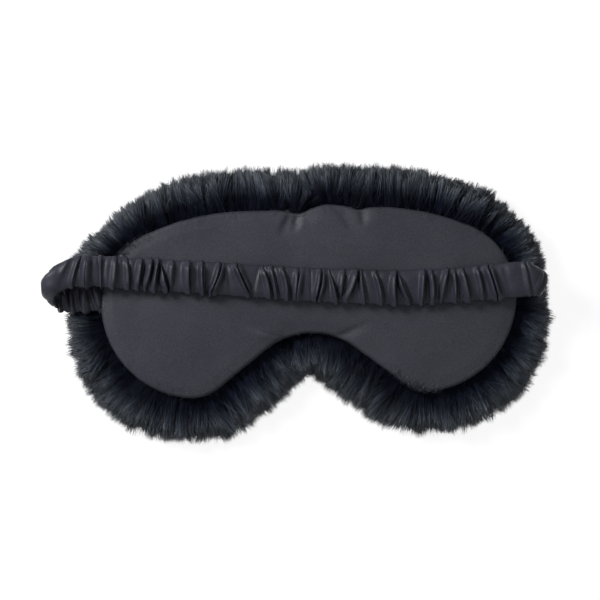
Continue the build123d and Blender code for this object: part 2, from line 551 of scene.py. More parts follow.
@dataclass
class SeamLine:
    """The mask's sewn edge seen from above, as evenly spaced points."""

    points: np.ndarray
    outward: np.ndarray
    level: float
    stride: ClassVar[int] = 3
    batch: ClassVar[int] = 2000
    close: ClassVar[float] = 2.0 * MM

    @classmethod
    def of_node(cls, node: str, depth: float, count: int) -> "SeamLine":
        """Read the outline of a node just under its top.

        Args:
            node: The node whose outer outline is the seam.
            depth: How far under its top it is cut.
            count: Number of points.

        Returns:
            The seam line, anticlockwise from its point on +X.
        """
        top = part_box(node)[1].z
        cut = bmesh.new()
        cut.from_mesh(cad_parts[node].data)
        bmesh.ops.remove_doubles(cut, verts=cut.verts, dist=WELD)
        bmesh.ops.bisect_plane(
            cut,
            geom=cut.verts[:] + cut.edges[:] + cut.faces[:],
            plane_co=(0, 0, top - depth),
            plane_no=(0, 0, 1),
            clear_inner=True,
            clear_outer=True,
        )
        loop = max(cls._loops(cut), key=lambda ring: np.ptp(ring[:, 0]))
        cut.free()
        if cls._signed_area(loop) < 0:
            loop = loop[::-1]
        loop = np.roll(loop, -int(loop[:, 0].argmax()), axis=0)
        points = cls._even(loop, count)
        ahead = np.roll(points, -cls.stride, axis=0) - np.roll(points, cls.stride, axis=0)
        ahead /= np.linalg.norm(ahead, axis=1)[:, None]
        outward = np.column_stack((ahead[:, 1], -ahead[:, 0]))
        return cls(points, outward, top)

    @staticmethod
    def _loops(cut: bmesh.types.BMesh) -> list[np.ndarray]:
        """Find the closed rings that the edges of a cut make.

        Args:
            cut: A bmesh with edges only.

        Returns:
            The rings, each with its points in order.
        """
        rings = []
        left = set(cut.verts)
        while left:
            vert = left.pop()
            ring = [vert]
            while True:
                near = [e.other_vert(ring[-1]) for e in ring[-1].link_edges]
                near = [v for v in near if v in left]
                if not near:
                    break
                ring.append(near[0])
                left.discard(near[0])
            rings.append(np.array([v.co[:2] for v in ring]))
        return rings

    @staticmethod
    def _signed_area(ring: np.ndarray) -> float:
        """Area inside a ring, above 0 when it runs anticlockwise."""
        ahead = np.roll(ring, -1, axis=0)
        return 0.5 * float(np.sum(ring[:, 0] * ahead[:, 1] - ring[:, 1] * ahead[:, 0]))

    @staticmethod
    def _even(ring: np.ndarray, count: int) -> np.ndarray:
        """Space the points of a ring evenly.

        Args:
            ring: The ring's points in order.
            count: Number of points wanted.

        Returns:
            The new points.
        """
        closed = np.vstack((ring, ring[:1]))
        steps = np.linalg.norm(np.diff(closed, axis=0), axis=1)
        length = np.concatenate(([0.0], np.cumsum(steps)))
        wanted = np.linspace(0.0, length[-1], count, endpoint=False)
        return np.column_stack([np.interp(wanted, length, closed[:, k]) for k in (0, 1)])

    def at(self, around: np.ndarray) -> tuple[np.ndarray, np.ndarray]:
        """Points and outward directions on the seam.

        Args:
            around: Places round the seam, where 1 is once round.

        Returns:
            The points and the unit outward directions.
        """
        count = len(self.points)
        spot = (around % 1.0) * count
        low = np.floor(spot).astype(int)
        share = (spot - low)[:, None]
        here, ahead = low % count, (low + 1) % count
        points = self.points[here] * (1 - share) + self.points[ahead] * share
        outward = self.outward[here] * (1 - share) + self.outward[ahead] * share
        return points, outward / np.linalg.norm(outward, axis=1)[:, None]

    def distance(self, places: np.ndarray) -> np.ndarray:
        """Distance from each place to the seam, without a sign.

        Args:
            places: Places in the plane of the seam.

        Returns:
            The distances, measured square to the seam where a place is close to it.
        """
        found = np.empty(len(places))
        for start in range(0, len(places), self.batch):
            part = places[start : start + self.batch]
            gaps = part[:, None, :] - self.points[None, :, :]
            nearest = (gaps**2).sum(2).argmin(1)
            gap = part - self.points[nearest]
            straight = np.linalg.norm(gap, axis=1)
            square = np.abs((gap * self.outward[nearest]).sum(1))
            found[start : start + self.batch] = np.where(straight < self.close, square, straight)
        return found

    def length(self) -> float:
        """Length once round the seam."""
        return float(np.linalg.norm(self.points - np.roll(self.points, -1, axis=0), axis=1).sum())

    def span(self, x: np.ndarray) -> tuple[np.ndarray, np.ndarray]:
        """Lowest and highest y inside the seam at each x.

        Args:
            x: Places along the mask's width.

        Returns:
            The lower and the upper y.
        """
        right, left = int(self.points[:, 0].argmax()), int(self.points[:, 0].argmin())
        turned = np.roll(self.points, -right, axis=0)
        split = (left - right) % len(self.points)
        upper = turned[: split + 1][::-1]
        lower = np.vstack((turned[split:], turned[:1]))
        high = np.interp(x, upper[:, 0], upper[:, 1])
        low = np.interp(x, lower[:, 0], lower[:, 1])
        return low, high


@dataclass(frozen=True)
class BrowPull:
    """Where the hand stitches pull the brow edge in, and where it bulges between them."""

    pulls: tuple[Bump, ...] = (
        Bump(centre=-4.0 * MM, width=6.0 * MM, amount=-2.1 * MM),
        Bump(centre=26.0 * MM, width=3.5 * MM, amount=-1.1 * MM),
        Bump(centre=11.0 * MM, width=9.0 * MM, amount=1.9 * MM),
    )
    deepest: float = 1.4 * MM
    brow_turn: float = 0.9

    def shift(self, x: np.ndarray) -> np.ndarray:
        """How far the edge moves out at x, below 0 where it is pulled in.

        Args:
            x: Places along the mask's width, in metres.

        Returns:
            The shifts, in metres.
        """
        return sum(pull.at(x) for pull in self.pulls)

    def edge_shift(self, points: np.ndarray, outward: np.ndarray) -> np.ndarray:
        """How far the seam moves along Y at places on it, 0 away from the brow.

        Args:
            points: Places on the seam.
            outward: The seam's outward directions there.

        Returns:
            The shifts.
        """
        return self.shift(points[:, 0]) * (outward[:, 1] > self.brow_turn)

    def pulled(self, points: np.ndarray, outward: np.ndarray) -> np.ndarray:
        """Share from 0 to 1 of how far the seam is pulled in at places on it.

        Args:
            points: Places on the seam.
            outward: The seam's outward directions there.

        Returns:
            The shares.
        """
        return np.clip(-self.edge_shift(points, outward) / self.deepest, 0.0, 1.0)


# ---------------------------------------------------------------- lining


@dataclass(frozen=True)
class Crease:
    """A groove, or with a depth below 0 a ridge, with a gentle side and a steep one.

    The gentle side lies to the left of the way from start to end, or to its right when
    the width is below 0. Places and sizes are in millimetres.
    """

    start: tuple[float, float]
    end: tuple[float, float]
    width: float
    depth: float
    gentle: float = 3.0

    def press(self, places: np.ndarray) -> np.ndarray:
        """Depth of the crease at each place.

        Args:
            places: Places on the lining, in metres.

        Returns:
            The change of height, below 0 in a groove.
        """
        start = np.array(self.start) * MM
        run = np.array(self.end) * MM - start
        share = ((places - start) @ run) / (run @ run)
        aside = np.array([-run[1], run[0]]) / np.linalg.norm(run)
        gap = (places - start) @ aside / (self.width * MM)
        gap = np.where(gap > 0, gap / self.gentle, gap)
        fade = smooth_step(share, -0.25, 0.15) * (1.0 - smooth_step(share, 0.35, 1.15))
        return -self.depth * MM * fade * np.exp(-(gap**2))


@dataclass
class Lining:
    """The satin panel: a crowned skin that rolls down into the seam."""

    seam: SeamLine
    brow: BrowPull
    columns: int = 320
    rows: int = 130
    cloth_columns: int = 120
    cloth_rows: int = 56
    cloth_frames: int = 20
    cloth_scale: float = 10.0
    cloth_cap: float = 1.0 * MM
    pressure: float = 1.5
    pinned_width: float = 2.0 * MM
    edge_flat: float = 0.06 * MM
    edge_round: float = 2.4 * MM
    edge_power: float = 3.2
    thickness: float = 0.4 * MM
    shoulder: float = 0.7 * MM
    shoulder_width: float = 7.0 * MM
    swell: float = 1.5 * MM
    swell_width: float = 34.0 * MM
    filled_inset: float = 6.4 * MM
    slack: float = 0.1 * MM
    creases: tuple[Crease, ...] = (
        Crease(start=(-8.0, 43.0), end=(-13.5, 31.0), width=1.2, depth=1.3),
        Crease(start=(-4.6, 44.0), end=(-7.0, 33.5), width=0.8, depth=1.4),
        Crease(start=(-1.0, 43.0), end=(2.0, 36.0), width=1.6, depth=0.4),
        Crease(start=(12.5, 45.5), end=(24.5, 31.0), width=1.8, depth=0.5),
        Crease(start=(17.0, 40.5), end=(23.0, 32.5), width=1.5, depth=0.3),
        Crease(start=(26.5, 44.0), end=(27.5, 35.0), width=1.0, depth=0.9),
        Crease(start=(-10.0, -19.2), end=(-31.0, -13.0), width=1.0, depth=-1.8),
        Crease(start=(12.0, -18.6), end=(30.0, -11.0), width=-1.0, depth=1.0),
        Crease(start=(-5.0, -17.5), end=(-10.0, -8.0), width=3.0, depth=0.5),
    )
    crease_start: tuple[float, float] = (-1.0 * MM, 2.5 * MM)
    waves: tuple[Ripple, ...] = (Ripple(24.0 * MM, 0.35 * MM, 1.0), Ripple(7.0 * MM, 0.10 * MM, 2.0))
    wave_start: float = 6.0 * MM
    edge_wave: Ripple = Ripple(6.0 * MM, 0.25 * MM, 3.0)
    edge_wave_end: float = 5.0 * MM
    brow_share: float = 0.45

    def shape(
        self, columns: int, rows: int
    ) -> tuple[bmesh.types.BMesh, np.ndarray, np.ndarray, np.ndarray]:
        """Shape of the panel before the fabric settles.

        Args:
            columns: Cells along the mask's width.
            rows: Cells along its height.

        Returns:
            A flat grid, each vertex's place on it, its place in the model and its
            distance from the seam.
        """
        grid, places = grid_mesh(columns, rows)
        half = self.seam.points[:, 0].max()
        x = half * np.sin((places[:, 0] - 0.5) * math.pi)
        low, high = self.seam.span(x)
        across = np.sin((places[:, 1] - 0.5) * math.pi)
        y = (low + high) / 2 + (high - low) / 2 * across
        flat = np.column_stack((x, y))
        inset = self.seam.distance(flat)
        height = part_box("lining_panel")[1].z - self.seam.level
        rolled = np.clip((inset - self.edge_flat) / self.edge_round, 0.0, 1.0)
        roll = (1.0 - (1.0 - rolled) ** self.edge_power) ** (1 / self.edge_power)
        z = self.seam.level + height * roll
        z += self.shoulder * smooth_step(inset, 0.0, self.shoulder_width)
        z += self.swell * smooth_step(inset, 0.0, self.swell_width)
        for crease in self.creases:
            z += crease.press(flat) * smooth_step(inset, *self.crease_start)
        rise = smooth_step(inset, 0.0, self.wave_start)
        for wave in self.waves:
            z += rise * wave.at(flat)
        brow = smooth_step(across, self.brow_share, 1.0) * (y > 0)
        y = y + self.brow.shift(x) * brow
        y = y + self.edge_wave.at(flat) * (1.0 - smooth_step(inset, 0.0, self.edge_wave_end))
        return grid, places, np.column_stack((x, y, z)), inset

    def settle(self, finishes: Finishes) -> np.ndarray:
        """Let a coarse copy of the panel settle as cloth over its filling.

        The copy is made larger, as the cloth solver behaves best on larger pieces. Its
        edge is pinned, light pressure fills it, and it is cut slightly loose.

        Args:
            finishes: The mask's finishes.

        Returns:
            How far each point of the coarse grid moves, as column, row and coordinate.
        """
        grid, places, start, inset = self.shape(self.cloth_columns, self.cloth_rows)
        place_verts(grid, start * self.cloth_scale)
        copy = finish_piece(grid, "lining_cloth", finishes.of(Finishes.satin))
        pinned = copy.vertex_groups.new(name="pinned")
        pinned.add([int(i) for i in np.nonzero(inset < self.pinned_width)[0]], 1.0, "REPLACE")
        cloth = copy.modifiers.new("cloth", "CLOTH")
        cloth.settings.quality = 6
        cloth.settings.mass = 0.25
        cloth.settings.tension_stiffness = 12.0
        cloth.settings.compression_stiffness = 12.0
        cloth.settings.shear_stiffness = 4.0
        cloth.settings.bending_stiffness = 0.25
        cloth.settings.shrink_min = -0.012
        cloth.settings.use_pressure = True
        cloth.settings.uniform_pressure_force = self.pressure
        cloth.settings.vertex_group_mass = "pinned"
        cloth.settings.effector_weights.gravity = 0.0
        for number in range(1, self.cloth_frames + 1):
            bpy.context.scene.frame_set(number)
        settled = copy.evaluated_get(bpy.context.evaluated_depsgraph_get())
        end = np.array([v.co for v in settled.data.vertices]) / self.cloth_scale
        bpy.context.scene.frame_set(1)
        bpy.data.objects.remove(copy)
        moved = end - start
        size = np.linalg.norm(moved, axis=1)
        moved *= np.minimum(1.0, self.cloth_cap / np.maximum(size, TINY))[:, None]
        log.info("lining settles by up to %.2f mm, capped at %.1f mm", size.max() / MM, self.cloth_cap / MM)
        lattice = np.zeros((self.cloth_columns + 1, self.cloth_rows + 1, 3))
        column = np.rint(places[:, 0] * self.cloth_columns).astype(int)
        row = np.rint(places[:, 1] * self.cloth_rows).astype(int)
        lattice[column, row] = moved
        return lattice

    def build(self, finishes: Finishes) -> bpy.types.Object:
        """Make the lining panel.

        Args:
            finishes: The mask's finishes.

        Returns:
            The finished piece.
        """
        grid, places, shape, inset = self.shape(self.columns, self.rows)
        shape += between(self.settle(finishes), places)
        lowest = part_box("wadding")[1].z + self.thickness + self.slack
        filled = inset > self.filled_inset
        shape[:, 2] = np.where(filled, np.maximum(shape[:, 2], lowest), shape[:, 2])
        place_verts(grid, shape)
        bmesh.ops.remove_doubles(grid, verts=grid.verts, dist=WELD)
        bmesh.ops.recalc_face_normals(grid, faces=grid.faces)
        piece = finish_piece(grid, "lining", finishes.of(Finishes.satin))
        wall = piece.modifiers.new("thickness", "SOLIDIFY")
        wall.thickness = self.thickness
        wall.offset = -1.0
        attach(piece, "mask")
        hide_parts("lining_panel")
        return piece


# ---------------------------------------------------------------- strap


@dataclass
class StrapPath:
    """Centre line of the strap, from its left sewn end to its right sewn end."""

    seam: SeamLine
    sewn_depth: float = 6.0 * MM
    bow_low: tuple[float, float] = (55.0 * MM, 1.95 * MM)
    bow_slope: float = 0.095
    bow_blunt: float = 25.0 * MM
    left_leave: float = 20.0 * MM
    left_lead: float = 13.0 * MM
    right_lead: float = 0.5 * MM
    settled: float = 1.5 * MM
    settle_to: float = 0.82
    settle_from: float = 0.98
    left_depth: float = 0.76
    right_depth: float = 1.04
    step: float = 0.25 * MM
    points: np.ndarray = field(init=False)
    heading: np.ndarray = field(init=False)
    along: np.ndarray = field(init=False)
    folds: tuple[float, float] = field(init=False)

    def __post_init__(self) -> None:
        """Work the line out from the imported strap."""
        low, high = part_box("strap_casing_middle")
        left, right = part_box("strap_casing_left")[0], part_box("strap_casing_right")[1]
        thickness = high.z - low.z
        run = (high.z + low.z) / 2
        tail = left.z + thickness / 2
        middle, radius = (run + tail) / 2, (run - tail) / 2
        left_fold = left.x + radius + thickness / 2
        right_fold = right.x - radius - thickness / 2
        side = self.seam.points[:, 0].max()
        sewn = side - self.sewn_depth
        places = self._straight((-sewn, tail), (left_fold, tail), math.pi)
        places += self._fold(left_fold, middle, radius, -1)
        left_end = len(places)
        places += self._straight((left_fold, run), (right_fold, run), 0.0)
        right_start = len(places)
        places += self._fold(right_fold, middle, radius, 1)
        places += self._straight((right_fold, tail), (sewn, tail), -math.pi)
        line = np.array(places)
        gaps = np.hypot(np.diff(line[:, 0]), np.diff(line[:, 1]))
        self.along = np.concatenate(([0.0], np.cumsum(gaps)))
        self.heading = line[:, 2]
        self.folds = (self.along[left_end], self.along[right_start])
        y = self.bow(line[:, 0])
        y = self._to_seam(y, self.left_leave, self.folds[0] + self.left_lead)
        y = self._to_seam(y, self.along[-1] - self.sewn_depth, self.folds[1] - self.right_lead)
        over_lining = smooth_step(line[:, 0], -self.settle_from * side, -self.settle_to * side)
        over_lining *= 1.0 - smooth_step(line[:, 0], self.settle_to * side, self.settle_from * side)
        over_lining *= line[:, 1] > run - 0.1 * MM
        self.points = np.column_stack((line[:, 0], y, line[:, 1] - self.settled * over_lining))

    def _to_seam(self, y: np.ndarray, leave: float, meet: float) -> np.ndarray:
        """Bend a tail from the run's line to the place where its end is sewn in.

        Args:
            y: Sideways places along the strap.
            leave: Length along the strap up to which the tail is straight.
            meet: Length along the strap where it is back on the run's line.

        Returns:
            The new sideways places.
        """
        sewn_y = sum(corner.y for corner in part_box("strap_bartack_left")) / 2
        ramp = smooth_step(self.along, leave, meet)
        on_tail = self.along < meet if leave < meet else self.along > meet
        return np.where(on_tail, sewn_y + (np.interp(meet, self.along, y) - sewn_y) * ramp, y)

    def bow(self, x: np.ndarray) -> np.ndarray:
        """Sideways place of the run at x."""
        return self.bow_low[1] + self.bow_slope * np.hypot(x - self.bow_low[0], self.bow_blunt)

    def _straight(self, start: tuple, end: tuple, heading: float) -> list[tuple[float, float, float]]:
        """Evenly spaced places on a straight stretch, without its last point.

        Args:
            start: Its first x and z.
            end: Its last x and z.
            heading: Angle of its way, from +X.

        Returns:
            Places as x, z and heading.
        """
        count = max(2, int(math.dist(start, end) / self.step))
        run_x, run_z = end[0] - start[0], end[1] - start[1]
        shares = np.linspace(0.0, 1.0, count, endpoint=False)
        return [(start[0] + run_x * share, start[1] + run_z * share, heading) for share in shares]

    def _fold(self, x: float, z: float, radius: float, side: int) -> list[tuple[float, float, float]]:
        """Places round the half turn at one end of the run, without its last point.

        Args:
            x: Where the turn starts.
            z: Height of its middle.
            radius: Half of its height.
            side: -1 for the left fold, 1 for the right one.

        Returns:
            Places as x, z and heading.
        """
        count = int(math.pi * radius / self.step)
        depth = self.left_depth if side < 0 else self.right_depth
        places = []
        for share in np.linspace(0.0, 1.0, count, endpoint=False):
            turn = math.pi * share
            place_x = x + side * radius * depth * math.sin(turn)
            if side < 0:
                places.append((place_x, z - radius * math.cos(turn), math.pi - turn))
            else:
                places.append((place_x, z + radius * math.cos(turn), -turn))
        return places

    def total(self) -> float:
        """Length of the strap between its ends."""
        return float(self.along[-1])

    def place(self, along: np.ndarray, sideways: np.ndarray, out: np.ndarray) -> np.ndarray:
        """Points in the model for places on the strap.

        Args:
            along: Length along the centre line.
            sideways: Offset along the strap's width.
            out: Offset out of the loop that the strap makes.

        Returns:
            The points, one row each.
        """
        along = np.clip(along, 0.0, self.along[-1])
        centre = np.column_stack([np.interp(along, self.along, self.points[:, k]) for k in range(3)])
        heading = np.interp(along, self.along, self.heading)
        centre[:, 0] -= np.sin(heading) * out
        centre[:, 2] += np.cos(heading) * out
        centre[:, 1] += sideways
        return centre


@dataclass(frozen=True)
class Zone:
    """A length of the strap where the gathers are wider or lower than elsewhere."""

    start: float
    end: float
    stretch: float
    calm: float


@dataclass
class Gathers:
    """The folds of the ruched casing: flat panels that each end in a standing ridge.

    Valley lines run across the strap from its lower to its upper edge, at another spacing
    on each edge, so that panels taper and ridges slant. The ridge at the end of a panel
    leans over the valley behind it. Each pair of numbers is the range that a panel's or a
    ridge's own value is drawn from; bows is in millimetres.
    """

    total: float
    zones: tuple[Zone, ...]
    pitch: float = 5.7 * MM
    ridge_width: float = 3.0 * MM
    ridge_height: float = 3.6 * MM
    panel_height: float = 0.45 * MM
    panel_rise: float = 1.7 * MM
    narrow: float = 2.0 * MM
    least_width: float = 0.9 * MM
    ridge_share: float = 0.72
    ridge_cells: float = 0.58
    crest: float = 0.42
    slant: float = 0.27
    tilt: float = 1.1 * MM
    tilt_pull: float = 0.6
    turned_share: float = 0.28
    bows: tuple[float, float] = (-0.7, 0.7)
    gains: tuple[float, float] = (0.7, 1.15)
    leans: tuple[float, float] = (0.15, 0.75)
    fades: tuple[float, float] = (-0.55, 0.55)
    puffs: tuple[float, float] = (-0.03, 0.07)
    widths: tuple[float, ...] = (0.5, 0.75, 0.95, 1.1, 1.35, 1.7)
    mix: tuple[float, ...] = (0.14, 0.22, 0.24, 0.18, 0.14, 0.08)
    seed: int = 7
    lower: np.ndarray = field(init=False)
    upper: np.ndarray = field(init=False)
    bow: np.ndarray = field(init=False)
    gain: np.ndarray = field(init=False)
    lean: np.ndarray = field(init=False)
    fade: np.ndarray = field(init=False)
    puff: np.ndarray = field(init=False)
    turned: np.ndarray = field(init=False)
    calm: np.ndarray = field(init=False)

    def __post_init__(self) -> None:
        """Lay the valley lines out along the strap."""
        random = np.random.default_rng(self.seed)
        lower, upper = [0.0], [0.0]
        while (lower[-1] + upper[-1]) / 2 < self.total:
            stretch = self.zone((lower[-1] + upper[-1]) / 2)[0]
            mean = self.pitch * stretch * random.choice(self.widths, p=self.mix)
            lean = random.normal(0.0, self.slant) * self.pitch
            lean += self.tilt_pull * (upper[-1] - lower[-1] - self.tilt)
            lower.append(lower[-1] + max(mean + lean, self.least_width))
            upper.append(upper[-1] + max(mean - lean, self.least_width))
        self.lower = np.array(lower) * self.total / lower[-1]
        self.upper = np.array(upper) * self.total / upper[-1]
        count = self.count()
        self.bow = np.concatenate((random.uniform(*self.bows, count) * MM, [0.0]))
        self.gain = random.uniform(*self.gains, count)
        self.lean = random.uniform(*self.leans, count)
        self.fade = random.uniform(*self.fades, count)
        self.puff = random.uniform(*self.puffs, count)
        self.turned = random.uniform(0.0, 1.0, count) < self.turned_share
        middle = (self.lower[:-1] + self.upper[:-1]) / 2
        self.calm = np.array([self.zone(place)[1] for place in middle])

    def zone(self, along: float) -> tuple[float, float]:
        """How much wider the panels and how much lower the ridges are at a place.

        Args:
            along: Length along the strap.

        Returns:
            Factors for the width of the panels and for the height of the ridges.
        """
        for zone in self.zones:
            if zone.start <= along < zone.end:
                return zone.stretch, zone.calm
        return 1.0, 1.0

    def count(self) -> int:
        """Number of panels."""
        return len(self.lower) - 1

    def line_near(self, along: float) -> int:
        """Index of the valley line nearest to a length along the strap."""
        return int(np.abs((self.lower + self.upper) / 2 - along).argmin())

    def line(self, index: np.ndarray, across: np.ndarray) -> np.ndarray:
        """Place along the strap of a valley line at a place across it.

        Args:
            index: Which lines.
            across: Places across the strap, from -1 at its lower to 1 at its upper edge.

        Returns:
            Lengths along the strap.
        """
        share = (across + 1) / 2
        straight = self.lower[index] * (1 - share) + self.upper[index] * share
        return straight + self.bow[index] * (1 - across**2)

    def surface(self, spot: np.ndarray, across: np.ndarray) -> tuple[np.ndarray, np.ndarray]:
        """Height of the folds over the valley floor, and where they lean to.

        Args:
            spot: Panel index, with the place inside that panel as its decimals.
            across: Places across the strap, from -1 to 1.

        Returns:
            The lengths along the strap and the heights.
        """
        index = np.clip(np.floor(spot).astype(int), 0, self.count() - 1)
        inside = spot - index
        turned = self.turned[index]
        inside = np.where(turned, 1.0 - inside, inside)
        start, end = self.line(index, across), self.line(index + 1, across)
        width = np.maximum(end - start, 0.0)
        ridge = np.minimum(self.ridge_width, self.ridge_share * width)
        panel = width - ridge
        flat_cells = 1.0 - self.ridge_cells
        on_panel = np.clip(inside / flat_cells, 0.0, 1.0)
        on_ridge = np.clip((inside - flat_cells) / self.ridge_cells, 0.0, 1.0)
        loss, faded_side = np.abs(self.fade[index]), np.sign(self.fade[index])
        fade = 1.0 - loss * ((faded_side * across + 1) / 2) ** 2
        calm = self.calm[index]
        shrink = 1.0 - np.exp(-((width / self.narrow) ** 2))
        high = self.ridge_height * self.gain[index] * fade * shrink * calm
        low = np.minimum(self.panel_height * (0.6 + 0.4 * calm), 0.6 * high)
        rise = np.sin(0.5 * math.pi * np.clip(on_panel * panel / self.panel_rise, 0.0, 1.0))
        puff = self.puff[index] * panel * np.sin(math.pi * on_panel)
        before = np.clip(on_ridge / self.crest, 0.0, 1.0)
        behind = np.clip((on_ridge - self.crest) / (1.0 - self.crest), 0.0, 1.0)
        up = np.sin(0.5 * math.pi * before) ** 2
        down = np.cos(0.5 * math.pi * behind) ** 0.9
        height = (low * rise + puff + (high - low) * up) * down
        shift = self.lean[index] * np.maximum(height - low, 0.0) * up
        along = panel * on_panel + ridge * on_ridge + shift
        along = np.where(turned, width - along, along)
        return start + along, height


class StrapPart(Enum):
    """The stretches that the strap's layers are made in."""

    LEFT_TAIL = "left_tail"
    LEFT_RUN = "left_run"
    RIGHT_RUN = "right_run"
    RIGHT_TAIL = "right_tail"


@dataclass(frozen=True)
class Band:
    """A plain band inside the casing."""

    layer: str
    width: float
    thickness: float
    offset: float
    finish: ClothFinish


@dataclass(frozen=True)
class TurnFold:
    """A crease across the strap near its left fold."""

    place: float
    height: float


@dataclass
class Strap:
    """Ruched satin casing with its flat elastic and seam thread."""

    path: StrapPath
    gathers: Gathers
    finishes: Finishes
    width: float = 16.0 * MM
    flare: float = 0.09
    left_corner: float = 2.6 * MM
    right_corner: float = 5.2 * MM
    pressed_under: float = 0.30
    turn_folds: tuple[TurnFold, ...] = (TurnFold(2.6 * MM, 1.3 * MM), TurnFold(-3.2 * MM, 0.9 * MM))
    turn_slant: float = 3.5 * MM
    wander: Ripple = Ripple(17.0 * MM, 0.4 * MM, 6.0)
    pinches: Ripple = Ripple(1.0 * MM, 0.7 * MM, 5.0)
    crumple: Ripple = Ripple(2.4 * MM, 0.22 * MM, 8.0)
    fold_drape: Ripple = Ripple(5.5 * MM, 0.8 * MM, 21.0)
    edge_wave: Ripple = Ripple(4.0 * MM, 0.35 * MM, 7.0)
    floor: float = 1.2 * MM
    fullness: float = 0.7 * MM
    cells_per_fold: int = 15
    sheet_cells: int = 26
    edge_cells: int = 5
    blend_inset: float = 3.0 * MM
    band_cell: float = 1.0 * MM
    band_cells: int = 16
    band_square: float = 0.35
    elastic: Band = Band("elastic", 13.0 * MM, 1.2 * MM, 0.0, Finishes.elastic)
    seam_thread: Band = Band("seam_thread", 0.5 * MM, 0.5 * MM, -6.8 * MM, Finishes.thread)

    def quarter_turn(self) -> float:
        """Length along the strap from the start of a fold to its outermost line."""
        heights = self.path.points[:, 2]
        return 0.5 * math.pi * (heights.max() - heights.min()) / 2

    def breaks(self) -> list[float]:
        """Lengths along the strap where its stretches meet.

        Returns:
            One length more than there are stretches.
        """
        low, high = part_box("strap_casing_middle")
        first, last = self.path.folds
        middle_x = (low.x + high.x) / 2
        on_run = (self.path.along > first) & (self.path.along < last)
        run = self.path.along[on_run]
        middle = float(np.interp(middle_x, self.path.points[on_run, 0], run))
        radius = (self.path.points[on_run, 2].mean() - self.path.points[0, 2]) / 2
        into_fold = 0.75 * math.pi * radius
        return [0.0, first - into_fold, middle, last + into_fold, self.path.total()]

    def move(self, piece: bpy.types.Object, part: StrapPart) -> None:
        """Put a tail on the mask's body; a run keeps its place, with its transform baked into its mesh.

        Args:
            piece: The finished piece.
            part: Which stretch it is.
        """
        if part is StrapPart.LEFT_RUN:
            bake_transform(piece)
        elif part is StrapPart.RIGHT_RUN:
            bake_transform(piece)
        else:
            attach(piece, "mask")

    def replaced(self, layer: str, part: StrapPart) -> list[str]:
        """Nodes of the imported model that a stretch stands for.

        Args:
            layer: The layer's name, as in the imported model.
            part: Which stretch it is.

        Returns:
            The nodes' names.
        """
        side = "left" if part in (StrapPart.LEFT_TAIL, StrapPart.LEFT_RUN) else "right"
        nodes = [f"strap_{layer}_{side}"]
        if part in (StrapPart.LEFT_RUN, StrapPart.RIGHT_RUN):
            nodes.append(f"strap_{layer}_middle")
        return nodes

    def section(self, round_share: np.ndarray) -> tuple[np.ndarray, np.ndarray, np.ndarray]:
        """Place round the casing's flat section.

        Args:
            round_share: Place round the section, from 0 to 1.

        Returns:
            Place across from -1 to 1, and the outward direction as its sideways and its
            outward part.
        """
        cells = 2 * (self.sheet_cells + self.edge_cells)
        spot = round_share * cells
        sheet, edge = self.sheet_cells, self.edge_cells
        parts = [spot <= sheet, spot <= sheet + edge, spot <= 2 * sheet + edge]
        upper_turn = (spot - sheet) / edge * math.pi
        lower_turn = (spot - 2 * sheet - edge) / edge * math.pi
        outer, inner = 2 * spot / sheet - 1, 1 - 2 * (spot - sheet - edge) / sheet
        across = np.select(parts, [outer, 1.0, inner], -1.0)
        sideways = np.select(parts, [0.0, np.sin(upper_turn), 0.0], -np.sin(lower_turn))
        out = np.select(parts, [1.0, np.cos(upper_turn), -1.0], -np.cos(lower_turn))
        return across, sideways, out

    def squeeze(self, along: np.ndarray, across: np.ndarray) -> np.ndarray:
        """Share of the width left where the strap turns over.

        Args:
            along: Lengths along the strap.
            across: Places across it, from -1 to 1.

        Returns:
            Factors for the half width.
        """
        first, last = self.path.folds
        turn = self.quarter_turn()
        left = bump_curve(along, first + 3 * MM, 8.0 * MM) * np.where(across > 0, 0.10, 0.0)
        right = bump_curve(along, last + turn, 6.0 * MM) * np.where(across > 0, 0.12, 0.03)
        behind_fold = smooth_step(along, last + 0.6 * turn, last + 1.6 * turn)
        right = right + behind_fold * np.where(across < 0, 0.26, 0.0)
        x = np.interp(along, self.path.along, self.path.points[:, 0])
        return 1.0 - left - right + self.flare * x / 0.11

    def rounded_corner(self, along: np.ndarray, across: np.ndarray) -> np.ndarray:
        """How far the edges of the strap turn over before its middle does.

        Args:
            along: Lengths along the strap.
            across: Places across it, from -1 to 1.

        Returns:
            Shifts along X.
        """
        first, last = self.path.folds
        turn = self.quarter_turn()
        left = bump_curve(along, first - turn, 9.0 * MM) * self.left_corner * np.abs(across) ** 2.6
        upper = np.clip(across, 0.0, 1.0) ** 2.4 + 0.22 * np.clip(-across, 0.0, 1.0) ** 3
        right = bump_curve(along, last + turn, 8.0 * MM) * self.right_corner * upper
        return left - right

    def place(
        self, along: np.ndarray, across: np.ndarray, sideways: np.ndarray, out: np.ndarray
    ) -> np.ndarray:
        """Points in the model for places on the strap, with its ends rounded.

        Args:
            along: Lengths along the strap.
            across: Places across it, from -1 to 1.
            sideways: Offsets along the strap's width.
            out: Offsets out of the loop that the strap makes.

        Returns:
            The points, one row each.
        """
        places = self.path.place(along, sideways, out)
        places[:, 0] += self.rounded_corner(along, across)
        return places

